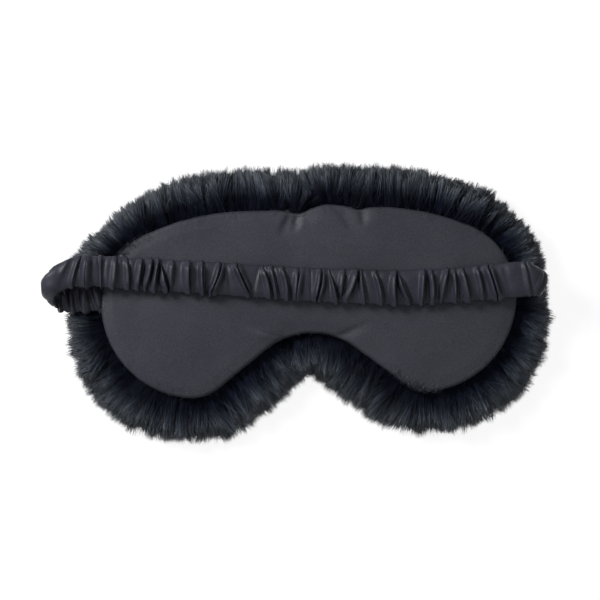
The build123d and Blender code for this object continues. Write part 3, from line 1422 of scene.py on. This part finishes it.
    def unevenness(
        self, along: np.ndarray, across: np.ndarray, out: np.ndarray
    ) -> tuple[np.ndarray, np.ndarray]:
        """Crumples and creases on top of the gathers.

        Args:
            along: Lengths along the strap.
            across: Places across it, from -1 to 1.
            out: Outward part of the surface's direction.

        Returns:
            Heights over the whole surface, and heights of the pinches at its lower edge.
        """
        first = self.path.folds[0]
        line = np.column_stack((along, across * 3 * MM))
        slanted = np.column_stack((along + across * 5 * MM, np.zeros(len(along))))
        soft = self.crumple.at(line)
        soft += bump_curve(along, first - 6 * MM, 16 * MM) * self.fold_drape.at(slanted)
        for fold in self.turn_folds:
            near = bump_curve(along - self.turn_slant * across, first + fold.place, 1.5 * MM)
            soft += near * fold.height * (out > 0)
        return soft, self.pinches.at(line) * smooth_step(-across, 0.6, 1.0)

    def casing(self, part: StrapPart, first: int, last: int) -> bpy.types.Object:
        """Make one stretch of the ruched casing.

        Args:
            part: Which stretch it is.
            first: Its first fold line.
            last: Its last fold line.

        Returns:
            The finished piece.
        """
        columns = (last - first) * self.cells_per_fold
        grid, places = grid_mesh(columns, 2 * (self.sheet_cells + self.edge_cells))
        across, sideways, out = self.section(places[:, 1])
        along, height = self.gathers.surface(first + places[:, 0] * (last - first), across)
        near_edge = np.abs(across) ** 6
        keep = np.where(across > 0, 1.0 - 0.45 * near_edge, 1.0 - 0.30 * near_edge)
        on_run = (along > self.path.folds[0]) & (along < self.path.folds[1])
        height = height * keep * np.where((out < 0) & on_run, self.pressed_under, 1.0)
        soft, pinch = self.unevenness(along, across, out)
        crown = self.fullness * (1 - across**4)
        reach = self.floor + crown + height + soft + pinch * 0.5
        lengthwise = along[:, None]
        edge = (self.width / 2 - self.floor) * self.squeeze(along, across)
        edge = edge + self.edge_wave.at(lengthwise)
        hang = np.where(across < 0, 0.85, 0.45)
        side = across * edge + sideways * (self.floor + hang * height + pinch)
        side = side + self.wander.at(lengthwise)
        place_verts(grid, self.place(along, across, side, out * reach))
        close_ends(grid, FINE_WELD, crisp=True)
        return self.finish(grid, "casing", part, Finishes.strap_satin_painted_shade)

    def band(self, band: Band, part: StrapPart, start: float, end: float) -> bpy.types.Object:
        """Make one stretch of a plain band inside the casing.

        Args:
            band: The band.
            part: Which stretch it is.
            start: Where it starts along the strap.
            end: Where it ends along the strap.

        Returns:
            The finished piece.
        """
        grid, places = grid_mesh(max(8, int((end - start) / self.band_cell)), self.band_cells)
        turn = places[:, 1] * 2 * math.pi
        along = start + places[:, 0] * (end - start)
        right, up = np.cos(turn), np.sin(turn)
        sideways = np.sign(right) * np.abs(right) ** self.band_square * band.width / 2 + band.offset
        out = np.sign(up) * np.abs(up) ** self.band_square * band.thickness / 2
        place_verts(grid, self.place(along, sideways / (self.width / 2), sideways, out))
        close_ends(grid, FINE_WELD)
        return self.finish(grid, band.layer, part, band.finish)

    def finish(
        self, grid: bmesh.types.BMesh, layer: str, part: StrapPart, finish: ClothFinish
    ) -> bpy.types.Object:
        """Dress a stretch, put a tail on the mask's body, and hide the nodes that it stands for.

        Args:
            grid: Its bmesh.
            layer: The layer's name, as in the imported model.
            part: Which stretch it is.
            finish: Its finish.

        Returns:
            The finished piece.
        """
        piece = finish_piece(grid, f"{layer}_{part.value}", self.finishes.of(finish))
        self.move(piece, part)
        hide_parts(*self.replaced(layer, part))
        return piece

    def build(self) -> list[bpy.types.Object]:
        """Make every stretch of the casing, the elastic and the seam thread.

        Returns:
            The finished pieces.
        """
        breaks = self.breaks()
        lines = [self.gathers.line_near(place) for place in breaks]
        pieces = []
        for part, first, last, start, end in zip(StrapPart, lines, lines[1:], breaks, breaks[1:]):
            pieces.append(self.casing(part, first, last))
            pieces.append(self.band(self.elastic, part, start, end))
            pieces.append(self.band(self.seam_thread, part, start, end))
        return pieces


# ---------------------------------------------------------------- fur


@dataclass(frozen=True)
class Strand:
    """One fibre: three sides, tapered at its end, bent at its levels."""

    heights: tuple[float, ...]
    radius: float
    girth: float = 0.9

    def steps(self) -> np.ndarray:
        """Levels from the root at 0 to the tip at 1."""
        return np.array(self.heights)

    def template(self) -> tuple[np.ndarray, list[list[int]]]:
        """The strand at unit length and radius, along Z.

        Returns:
            Its vertices, and its faces as lists of indices.
        """
        strand = bmesh.new()
        girth = self.girth
        bmesh.ops.create_cone(strand, cap_ends=False, segments=3, radius1=girth, radius2=girth, depth=1.0)
        for height in self.heights[1:-1]:
            bmesh.ops.bisect_plane(
                strand,
                geom=strand.verts[:] + strand.edges[:] + strand.faces[:],
                plane_co=(0, 0, height - 0.5),
                plane_no=(0, 0, 1),
            )
        top = [v for v in strand.verts if v.co.z > 0.5 - WELD]
        bmesh.ops.pointmerge(strand, verts=top, merge_co=(0, 0, 0.5))
        strand.verts.index_update()
        verts = np.array([v.co for v in strand.verts])
        verts[:, 2] += 0.5
        faces = [[v.index for v in f.verts] for f in strand.faces]
        strand.free()
        return verts, faces


@dataclass(frozen=True)
class RoughPlace:
    """A place where fibres got caught in the seam and stand up; in millimetres."""

    x: float
    y: float
    width: float


@dataclass
class Fur:
    """Long faux fur: a dense undercoat with strands that stand out past the seam.

    The sizes of roots and loose hairs are in millimetres, the others in metres.
    """

    seam: SeamLine
    strap: StrapPath
    finishes: Finishes
    brow: BrowPull
    strands: int = 98000
    per_piece: int = 12500
    face_strands: int = 7000
    loose: int = 330
    rough_places: tuple[RoughPlace, ...] = (RoughPlace(50.0, -43.0, 9.0), RoughPlace(-89.0, 28.0, 7.0))
    loose_everywhere: float = 0.035
    loose_spots: int = 2000
    tufts: int = 2500
    tuft_width: float = 0.62 * MM
    fibre: Strand = Strand((0.0, 0.42, 0.84, 1.0), 0.11 * MM)
    hair: Strand = Strand((0.0, 0.2, 0.38, 0.52, 0.64, 0.76, 0.88, 1.0), 0.07 * MM)
    stray_share: float = 0.12
    stray_swirl: float = 0.28
    tidy_swirl: float = 0.10
    stray_pull: float = 0.35
    tidy_pull: float = 0.86
    pulls: tuple[float, float] = (0.65, 1.0)
    shares: tuple[float, float] = (0.82, 1.02)
    shades: tuple[float, float] = (0.35, 1.55)
    tuft_shades: tuple[float, float] = (0.65, 1.4)
    tuft_swirl: float = 0.20
    tuft_depth: float = 0.07
    top_loss: float = 0.35
    longest_tuft: float = 1.27
    tuft_spread: float = 0.27
    bright_share: float = 0.10
    bright_gain: float = 1.8
    bend: float = 0.12
    root_inside: float = -1.2
    root_spread: float = 6.0
    root_low: float = 3.0
    root_rise: float = 8.6
    root_pulled_up: float = 1.3
    root_pressed: float = 9.6
    rise_low: float = -0.18
    rise_gain: float = 0.75
    rise_pressed: float = -0.05
    pressed_calm: float = 0.6
    droop: float = 0.28
    droop_gain: float = 0.55
    rest_level: float = 1.2 * MM
    rest_depth: float = 0.9 * MM
    rest_soft: float = 1.5 * MM
    swirls: tuple[Ripple, ...] = (Ripple(20.0 * MM, 0.24, 4.0), Ripple(6.0 * MM, 0.20, 9.0))
    lift_wave: Ripple = Ripple(11.0 * MM, 0.35, 15.0)
    tuft_wave: Ripple = Ripple(5.0 * MM, 0.05, 12.0)
    face_wave: Ripple = Ripple(25.0 * MM, 0.5, 30.0)
    tails_from: float = 90.0 * MM
    tail_span: tuple[float, float] = (6.5 * MM, 9.0 * MM)
    undercoat_cells: tuple[int, int] = (360, 44)
    face_depth: float = 48.0 * MM
    face_length: float = 17.0 * MM
    face_margin: float = 1.0 * MM
    hair_beside: tuple[float, float] = (0.5, 1.5)
    hair_reach: tuple[float, float] = (0.5, 5.0)
    hair_lean: float = 3.2
    hair_rise: tuple[float, float] = (7.2, 8.2)
    hair_foot: float = 11.2
    # Painted light and shade: the strands' shade factor by side of the mask, brighter right and bottom, a
    # little darker at the nose.
    painted_light_level: float = 1.32
    painted_light_up: float = -0.16
    painted_light_right: float = 0.46
    painted_light_nose: Bump = Bump(centre=-6.0 * MM, width=24.0 * MM, amount=-0.1)
    side_reach: float = 15.3 * MM
    left_extra: float = 0.3 * MM
    brow_extra: float = 4.5 * MM
    chin_extra: float = 4.4 * MM
    cheek_extra: float = 7.0 * MM
    shoulder_loss: float = 1.2 * MM
    left_loss: float = 4.6 * MM
    left_loss_span: tuple[float, float] = (60.0 * MM, 90.0 * MM)
    nose_loss: Bump = Bump(centre=-4.0 * MM, width=14.0 * MM, amount=2.2 * MM)
    flank_extra: float = 1.6 * MM
    flank_span: tuple[float, float] = (45.0 * MM, 60.0 * MM)
    temple_extra: Bump = Bump(centre=15.0 * MM, width=8.0 * MM, amount=3.2 * MM)
    temple_tilt: float = 3.5
    seed: int = 3

    def reach(self, points: np.ndarray, outward: np.ndarray) -> np.ndarray:
        """How far the pile stands out past the seam.

        Args:
            points: Places on the seam.
            outward: The seam's outward directions there.

        Returns:
            The reach of the longest fibres.
        """
        aside = np.abs(outward[:, 0])
        up = np.clip(outward[:, 1], 0.0, 1.0)
        down = np.clip(-outward[:, 1], 0.0, 1.0)
        reach = self.side_reach - self.left_extra * points[:, 0] / 0.1
        reach = reach + self.brow_extra * up**2 - self.shoulder_loss * aside * up
        reach = reach - self.left_loss * aside * up * smooth_step(-points[:, 0], *self.left_loss_span)
        reach = reach + self.chin_extra * down + self.cheek_extra * aside * down
        reach = reach - self.nose_loss.at(points[:, 0]) * (down > 0)
        temple = self.temple_extra.at(points[:, 1]) * (1.0 - self.temple_tilt * points[:, 0])
        reach = reach + temple * (aside > 0.5)
        middle = 1.0 - smooth_step(np.abs(points[:, 0]), *self.flank_span)
        return reach + self.flank_extra * middle * aside * (down > 0)

    def undercoat(self) -> bpy.types.Object:
        """Dense dark body of the pile, under the strands.

        Returns:
            The finished piece.
        """
        profile = np.array(
            [
                (-14.0, 1.6), (-6.0, 1.2), (2.0, 1.2), (7.0, 1.8), (9.5, 3.6), (10.0, 5.6),
                (8.8, 7.6), (5.5, 9.4), (2.0, 10.4), (-0.6, 10.6), (-0.75, 9.0), (-0.75, 7.6),
            ]
        ) * MM
        grid, places = grid_mesh(*self.undercoat_cells)
        spot = places[:, 1] * (len(profile) - 1)
        out = np.interp(spot, np.arange(len(profile)), profile[:, 0])
        z = np.interp(spot, np.arange(len(profile)), profile[:, 1])
        points, outward = self.seam.at(places[:, 0])
        flat = points + outward * out[:, None]
        z = np.minimum(z, self.seam.level)
        place_verts(grid, np.column_stack((flat, z)))
        close_ends(grid, WELD)
        piece = finish_piece(grid, "fur_undercoat", self.finishes.of(Finishes.fur))
        # The undercoat takes the root colour, which is partly painted shade deep in the pile.
        self.mark(piece, np.zeros(len(piece.data.vertices)), np.ones(len(piece.data.vertices)))
        return piece

    def mark(self, piece: bpy.types.Object, along: np.ndarray, shade: np.ndarray) -> None:
        """Store the place along a strand and its shade on a piece.

        Args:
            piece: The piece.
            along: Place along the strand for each vertex, from root to tip.
            shade: Brightness of the strand for each vertex.
        """
        for name, values in (("along", along), ("shade", shade)):
            layer = piece.data.attributes.new(name, "FLOAT", "POINT")
            layer.data.foreach_set("value", values.astype(np.float32))

    def under_strap(self, points: np.ndarray) -> np.ndarray:
        """How much the strap's tails press the pile down.

        Args:
            points: Places on the seam.

        Returns:
            Shares from 0 to 1.
        """
        sewn = self.strap.points[0, 1]
        gap = np.abs(points[:, 1] - sewn)
        beside = np.abs(points[:, 0]) > self.tails_from
        return (1.0 - smooth_step(gap, *self.tail_span)) * beside

    def guides(
        self, around: np.ndarray, lift: np.ndarray, share: np.ndarray, swirl: np.ndarray
    ) -> dict[str, np.ndarray]:
        """Root, direction, length and lift of strands.

        Args:
            around: Places round the seam.
            lift: From 0 at the lowest strands to 1 at the highest ones.
            share: Length as a share of the longest fibre there.
            swirl: Angle to the outward direction, on top of the pile's own swirls.

        Returns:
            Arrays by name, one row for each strand.
        """
        points, outward = self.seam.at(around)
        along = np.column_stack((-outward[:, 1], outward[:, 0]))
        pressed = self.under_strap(points)
        swirl = swirl + sum(wave.at(points) for wave in self.swirls)
        swirl *= 1.0 - self.pressed_calm * pressed
        out = (self.root_inside + (1.0 - lift) * self.root_spread) * MM
        root_z = self.root_low + self.root_rise * lift**0.7
        length = (self.reach(points, outward) - out) * share
        rise = self.rise_low + self.rise_gain * lift * (1.0 + self.lift_wave.at(points))
        rise = rise * (1.0 - pressed) + pressed * np.minimum(rise, self.rise_pressed)
        root_z = root_z * (1.0 - pressed) + pressed * np.minimum(root_z, self.root_pressed)
        root_z = root_z + self.root_pulled_up * self.brow.pulled(points, outward) * lift
        turned = outward * np.cos(swirl)[:, None] + along * np.sin(swirl)[:, None]
        root = np.column_stack((points + outward * out[:, None], root_z * MM))
        root[:, 1] += self.brow.edge_shift(points, outward)
        return {"root": root, "way": turned, "length": length, "rise": rise}

    def paths(self, guide: dict[str, np.ndarray], random: np.random.Generator) -> np.ndarray:
        """Curved centre lines of strands.

        Args:
            guide: What guides() gives.
            random: Random numbers.

        Returns:
            Points, as strand, level and coordinate.
        """
        count = len(guide["length"])
        steps = self.fibre.steps()[None, :]
        bend = random.normal(0.0, self.bend, count)[:, None]
        side = np.column_stack((-guide["way"][:, 1], guide["way"][:, 0]))
        forward = guide["length"][:, None] * (steps - 0.04 * steps**2)
        sideways = guide["length"][:, None] * bend * steps**2
        flat = guide["root"][:, None, :2] + guide["way"][:, None, :] * forward[:, :, None]
        flat = flat + side[:, None, :] * sideways[:, :, None]
        rise = guide["rise"][:, None]
        arch = rise * steps - (self.droop + self.droop_gain * rise) * steps**2
        z = guide["root"][:, None, 2] + guide["length"][:, None] * arch
        below = 1 - np.exp((z - self.rest_level) / self.rest_soft)
        z = np.where(z < self.rest_level, self.rest_level - self.rest_depth * below, z)
        return np.concatenate((flat, z[:, :, None]), axis=2)

    def long_strands(self, random: np.random.Generator) -> tuple[np.ndarray, np.ndarray]:
        """Strands that stand out past the seam, drawn together into tufts.

        Args:
            random: Random numbers.

        Returns:
            Centre lines, as strand, level and coordinate, and the strands' shades.
        """
        tuft_around = (np.arange(self.tufts) + random.uniform(0, 1, self.tufts)) / self.tufts
        tuft_lift = random.uniform(0.0, 1.0, self.tufts)
        points = self.seam.at(tuft_around)[0]
        shorter = self.tuft_spread * random.uniform(0.0, 1.0, self.tufts) ** 0.9
        tuft_share = self.longest_tuft + self.tuft_wave.at(points) - shorter
        tuft_share -= self.top_loss * tuft_lift**2 * random.uniform(0.0, 1.0, self.tufts)
        tuft_swirl = random.normal(0.0, self.tuft_swirl, self.tufts)
        tuft_paths = self.paths(self.guides(tuft_around, tuft_lift, tuft_share, tuft_swirl), random)
        owner = np.sort(random.integers(0, self.tufts, self.strands))
        around = tuft_around[owner] + random.normal(0.0, self.tuft_width, self.strands) / self.seam.length()
        depth = random.normal(0.0, self.tuft_depth, self.strands)
        lift = np.clip(tuft_lift[owner] + depth, 0.0, 1.0)
        share = tuft_share[owner] * random.uniform(*self.shares, self.strands)
        stray = random.uniform(0.0, 1.0, self.strands) < self.stray_share
        apart = np.where(stray, self.stray_swirl, self.tidy_swirl)
        swirl = tuft_swirl[owner] + random.normal(0.0, 1.0, self.strands) * apart
        lines = self.paths(self.guides(around, lift, share, swirl), random)
        steps = self.fibre.steps()
        brow_side = smooth_step(self.seam.at(around)[1][:, 1], -0.4, 0.5)
        tidy = self.tidy_pull + (1.0 - self.tidy_pull) * brow_side
        pull = random.uniform(*self.pulls, self.strands) * np.where(stray, self.stray_pull, tidy)
        pull = pull[:, None] * steps[None, :] ** 1.2
        near = self.along_tuft(tuft_paths[owner], share / tuft_share[owner])
        lines = lines * (1 - pull[:, :, None]) + near * pull[:, :, None]
        tuft_shade = random.uniform(*self.tuft_shades, self.tufts)
        shade = 1.0 + (tuft_shade[owner] - 1.0) * (0.25 + 0.75 * brow_side)
        # The side factor paints light and shade into the strands' shade: brighter right and bottom, a
        # little darker at the nose.
        shade *= random.uniform(*self.shades, self.strands) * self.painted_side_light(around)
        shade[random.uniform(0.0, 1.0, self.strands) < self.bright_share] *= self.bright_gain
        return lines, shade

    def build(self) -> list[bpy.types.Object]:
        """Make the undercoat and all the strands.

        Returns:
            The finished pieces.
        """
        random = np.random.default_rng(self.seed)
        lines, shade = self.long_strands(random)
        pieces = [self.undercoat()]
        pieces.append(self.strand_piece("fur_face", self.fibre, *self.face_pile(random)))
        pieces.append(self.strand_piece("fur_loose_hairs", self.hair, *self.loose_hairs(random)))
        for number, start in enumerate(range(0, self.strands, self.per_piece)):
            part = slice(start, min(start + self.per_piece, self.strands))
            name = f"fur_strands_{number + 1}"
            pieces.append(self.strand_piece(name, self.fibre, lines[part], shade[part]))
        for piece in pieces:
            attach(piece, "mask")
            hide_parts("fur_pile")
        return pieces

    def face_pile(self, random: np.random.Generator) -> tuple[np.ndarray, np.ndarray]:
        """Strands that lie flat under the mask, on the face that rests on the table.

        Args:
            random: Random numbers.

        Returns:
            Centre lines, as strand, level and coordinate, and the strands' shades.
        """
        count = self.face_strands
        around = random.uniform(0.0, 1.0, count)
        points, outward = self.seam.at(around)
        inward = self.face_depth * random.uniform(0.0, 1.0, count) ** 1.2
        low, high = self.seam.span(points[:, 0] * 0.98)
        root = points - outward * inward[:, None]
        root[:, 1] = np.clip(root[:, 1], low + self.face_margin, high - self.face_margin)
        angle = self.face_wave.at(root) + random.normal(0.0, 0.2, count)
        side = np.column_stack((-outward[:, 1], outward[:, 0]))
        way = outward * np.cos(angle)[:, None] + side * np.sin(angle)[:, None]
        steps = self.fibre.steps()[None, :, None]
        length = self.face_length * random.uniform(0.7, 1.1, count)[:, None, None]
        flat = root[:, None, :] + way[:, None, :] * length * steps
        z = 2.0 * MM - 1.5 * MM * np.sin(math.pi * np.clip(steps + 0.15, 0.0, 1.0)) ** 0.6
        z = np.repeat(z, count, axis=0) + random.uniform(0.0, 0.8, count)[:, None, None] * MM
        return np.concatenate((flat, z), axis=2), random.uniform(0.5, 1.6, count)

    def loose_hairs(self, random: np.random.Generator) -> tuple[np.ndarray, np.ndarray]:
        """Fibres that stand up from the seam and fall over the lining's edge.

        Args:
            random: Random numbers.

        Returns:
            Centre lines, as strand, level and coordinate, and the strands' shades.
        """
        spots = np.linspace(0.0, 1.0, self.loose_spots, endpoint=False)
        points = self.seam.at(spots)[0]
        weight = np.full(len(spots), self.loose_everywhere)
        for rough in self.rough_places:
            gap = np.hypot(points[:, 0] - rough.x * MM, points[:, 1] - rough.y * MM)
            weight += bump_curve(gap, 0.0, rough.width * MM)
        around = random.choice(spots, self.loose, p=weight / weight.sum())
        around = around + random.uniform(0.0, 1.0, self.loose) / len(spots)
        points, outward = self.seam.at(around)
        side = np.column_stack((-outward[:, 1], outward[:, 0]))
        beside = random.uniform(*self.hair_beside, self.loose)[:, None] * MM
        reach = random.uniform(*self.hair_reach, self.loose)[:, None] * MM
        lean = random.normal(0.0, self.hair_lean, self.loose)[:, None] * MM
        points[:, 1] += self.brow.edge_shift(points, outward)
        steps = self.hair.steps()[None, :]
        over = beside - (beside + reach) * smooth_step(steps, 0.45, 1.0)
        flat = points[:, None, :] + outward[:, None, :] * over[:, :, None]
        flat = flat + side[:, None, :] * (lean * steps**1.3)[:, :, None]
        rise = random.uniform(*self.hair_rise, self.loose)[:, None] * MM
        z = self.hair_foot * MM + rise * np.sin(0.5 * math.pi * np.clip(steps * 1.45, 0.0, 1.0))
        return np.concatenate((flat, z[:, :, None]), axis=2), random.uniform(0.3, 1.4, self.loose)

    def along_tuft(self, lines: np.ndarray, share: np.ndarray) -> np.ndarray:
        """Cut centre lines short.

        Args:
            lines: Centre lines, as strand, level and coordinate.
            share: Share of each line that is kept, from its root.

        Returns:
            The shorter lines, with as many levels as before.
        """
        heights = self.fibre.steps()
        wanted = heights[None, :] * np.minimum(share, 1.0)[:, None]
        low = np.clip(np.searchsorted(heights, wanted, side="right") - 1, 0, len(heights) - 2)
        rest = ((wanted - heights[low]) / (heights[low + 1] - heights[low]))[:, :, None]
        rows = np.arange(len(lines))[:, None]
        return lines[rows, low] * (1 - rest) + lines[rows, low + 1] * rest

    def painted_side_light(self, around: np.ndarray) -> np.ndarray:
        """Painted light and shade on the strands by the side they stand out on: brighter towards the right
        and the bottom, a little darker at the nose.

        Args:
            around: Places round the seam.

        Returns:
            Factors for the strands' shade.
        """
        points, outward = self.seam.at(around)
        at_nose = self.painted_light_nose.at(points[:, 0]) * (outward[:, 1] < 0.0)
        return self.painted_light_level + self.painted_light_up * outward[:, 1] + self.painted_light_right * outward[:, 0] + at_nose

    def strand_piece(
        self, name: str, strand: Strand, lines: np.ndarray, shade: np.ndarray
    ) -> bpy.types.Object:
        """Copies of one strand, bent along their centre lines.

        Args:
            name: The piece's name.
            strand: The strand that is copied.
            lines: Centre lines, as strand, level and coordinate.
            shade: Brightness of each strand.

        Returns:
            The finished piece.
        """
        verts, faces = strand.template()
        count = len(lines)
        level = np.abs(verts[:, 2:3] - strand.steps()[None, :]).argmin(axis=1)
        centre = lines[:, level, :]
        ahead = np.gradient(lines, strand.steps(), axis=1)[:, level, :]
        ahead /= np.linalg.norm(ahead, axis=2)[:, :, None]
        side = np.cross(ahead, np.array([0.0, 0.0, 1.0]))
        side /= np.maximum(np.linalg.norm(side, axis=2), TINY)[:, :, None]
        over = np.cross(side, ahead)
        places = centre + strand.radius * (side * verts[None, :, :1] + over * verts[None, :, 1:2])
        size = len(verts)
        data = bpy.data.meshes.new(name)
        corners = np.concatenate([np.array(f) for f in faces])
        lengths = np.array([len(f) for f in faces])
        offsets = np.arange(count)[:, None] * size
        all_corners = (corners[None, :] + offsets).ravel()
        all_lengths = np.tile(lengths, count)
        data.vertices.add(count * size)
        data.vertices.foreach_set("co", places.reshape(-1).astype(np.float32))
        data.loops.add(len(all_corners))
        data.loops.foreach_set("vertex_index", all_corners.astype(np.int32))
        data.polygons.add(len(all_lengths))
        data.polygons.foreach_set("loop_start", (np.cumsum(all_lengths) - all_lengths).astype(np.int32))
        data.polygons.foreach_set("use_smooth", np.ones(len(all_lengths), bool))
        data.update(calc_edges=True)
        data.validate()
        data.materials.append(self.finishes.of(Finishes.fur))
        piece = bpy.data.objects.new(name, data)
        bpy.context.scene.collection.objects.link(piece)
        self.mark(piece, np.tile(verts[:, 2], count), np.repeat(shade, size))
        return piece


# ---------------------------------------------------------------- stage


@dataclass(frozen=True)
class Lamp:
    """A square soft lamp aimed at the mask."""

    name: str
    place: tuple[float, float, float]
    power: float
    size: float

    def build(self) -> None:
        """Hang the lamp."""
        data = bpy.data.lights.new(self.name, "AREA")
        data.energy = self.power
        data.size = self.size
        lamp = bpy.data.objects.new(self.name, data)
        lamp.location = self.place
        lamp.rotation_euler = Vector(self.place).to_track_quat("Z", "Y").to_euler()
        bpy.context.scene.collection.objects.link(lamp)


@dataclass
class Studio:
    """Pale floor, soft light and the camera over the mask."""

    distance: float = 1.60
    field_width: float = 0.2922
    aim: tuple[float, float] = (-4.3 * MM, 0.1 * MM)
    roll: float = math.radians(-1.8)
    sensor: float = 36.0
    floor_size: float = 3.0
    floor_grey: float = 0.16
    floor_glow: float = 0.91
    ambient: float = 0.14
    lamps: tuple[Lamp, ...] = (
        Lamp(name="key_lamp", place=(-0.92, 0.55, 0.78), power=22.5, size=0.45),
        Lamp(name="fill_lamp", place=(0.7, -0.5, 1.2), power=2.0, size=1.2),
    )

    def camera(self) -> None:
        """Camera that looks straight down on the lining."""
        data = bpy.data.cameras.new("camera")
        data.sensor_width = self.sensor
        data.lens = self.sensor * self.distance / self.field_width
        data.clip_end = 10.0
        camera = bpy.data.objects.new("camera", data)
        camera.location = (*self.aim, self.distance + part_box("lining_panel")[1].z)
        camera.rotation_euler = (0.0, 0.0, self.roll)
        bpy.context.scene.collection.objects.link(camera)
        bpy.context.scene.camera = camera

    def pick_seen(
        self, board: NodeBoard, unseen: bpy.types.NodeSocket, seen: bpy.types.NodeSocket
    ) -> bpy.types.NodeSocket:
        """One shader for camera, reflected and transmitted rays, another for the light.

        Args:
            board: The nodes.
            unseen: Shader that lights the mask.
            seen: Shader that shows as the background.

        Returns:
            The shader that is one or the other.
        """
        rays = board.add("ShaderNodeLightPath").outputs
        direct = board.calc("MAXIMUM", rays["Is Camera Ray"], rays["Is Glossy Ray"])
        pick = board.add("ShaderNodeMixShader")
        board.join(board.calc("MAXIMUM", direct, rays["Is Transmission Ray"]), pick.inputs[0])
        board.join(unseen, pick.inputs[1])
        board.join(seen, pick.inputs[2])
        return pick.outputs[0]

    def floor(self) -> None:
        """Pale floor that keeps the mask's shadow."""
        mesh = bmesh.new()
        bmesh.ops.create_grid(mesh, x_segments=1, y_segments=1, size=self.floor_size)
        made, board, shader = new_material("pale_floor")
        shader.inputs["Base Color"].default_value = (*[self.floor_grey] * 3, 1.0)
        shader.inputs["Roughness"].default_value = 1.0
        shader.inputs["Specular IOR Level"].default_value = 0.0
        glow = board.add("ShaderNodeEmission", Strength=self.floor_glow)
        nothing = board.add("ShaderNodeEmission", Strength=0.0)
        total = board.add("ShaderNodeAddShader")
        board.join(shader.outputs[0], total.inputs[0])
        board.join(self.pick_seen(board, nothing.outputs[0], glow.outputs[0]), total.inputs[1])
        board.join(total.outputs[0], made.node_tree.nodes["Material Output"].inputs["Surface"])
        piece = finish_piece(mesh, "floor", made)

    def world(self) -> None:
        """White surroundings, dimmer as a light than as a background."""
        world = bpy.data.worlds.new("studio")
        world.use_nodes = True
        board = NodeBoard(world.node_tree)
        seen = world.node_tree.nodes["Background"]
        seen.inputs["Strength"].default_value = 1.0
        seen.inputs["Color"].default_value = (1.0, 1.0, 1.0, 1.0)
        light = board.add("ShaderNodeBackground", Color=(1.0, 1.0, 1.0, 1.0), Strength=self.ambient)
        picked = self.pick_seen(board, light.outputs[0], seen.outputs[0])
        board.join(picked, world.node_tree.nodes["World Output"].inputs["Surface"])
        bpy.context.scene.world = world

    def build(self) -> None:
        """Set up the whole stage."""
        self.camera()
        self.floor()
        self.world()
        for lamp in self.lamps:
            lamp.build()
        bpy.context.scene.view_settings.view_transform = "Standard"


# ---------------------------------------------------------------- the whole mask


def dress_inner_nodes(finishes: Finishes) -> None:
    """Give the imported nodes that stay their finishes.

    Args:
        finishes: The mask's finishes.
    """
    for node, finish in (
        ("fur_backing", Finishes.knit),
        ("blackout_interlining", Finishes.blackout),
        ("wadding", Finishes.wadding),
        ("perimeter_stitching", Finishes.thread),
        ("closing_stitches", Finishes.thread),
        ("strap_bartack_left", Finishes.thread),
        ("strap_bartack_right", Finishes.thread),
    ):
        finishes.dress_node(node, finish)


def calm_zones(path: StrapPath) -> tuple[Zone, ...]:
    """Where the strap's gathers are wider or lower: at its left tail and at its folds.

    Args:
        path: The strap's centre line.

    Returns:
        The zones.
    """
    first, last = path.folds
    return (
        Zone(start=0.0, end=first - 17 * MM, stretch=0.62, calm=1.0),
        Zone(start=first - 17 * MM, end=first - 1 * MM, stretch=1.9, calm=0.15),
        Zone(start=first - 1 * MM, end=first + 8 * MM, stretch=1.4, calm=0.5),
        Zone(start=last - 13 * MM, end=last + 20 * MM, stretch=2.2, calm=0.4),
    )


def report(pieces: list[bpy.types.Object]) -> None:
    """Log each piece and its number of faces."""
    for piece in pieces:
        log.info("%s: %d faces", piece.name, len(piece.data.polygons))


def main() -> None:
    """Build the mask's looks piece by piece."""
    logging.basicConfig(level=logging.INFO, format="%(message)s")
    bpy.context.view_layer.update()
    Studio().build()
    finishes = Finishes()
    dress_inner_nodes(finishes)
    seam = SeamLine.of_node("fur_backing", depth=0.2 * MM, count=1440)
    log.info("seam line of %.0f mm", seam.length() / MM)
    brow = BrowPull()
    report([Lining(seam, brow).build(finishes)])
    path = StrapPath(seam)
    gathers = Gathers(path.total(), calm_zones(path))
    report(Strap(path, gathers, finishes).build())
    report(Fur(seam, path, finishes, brow).build())


if __name__ == "__main__":
    main()
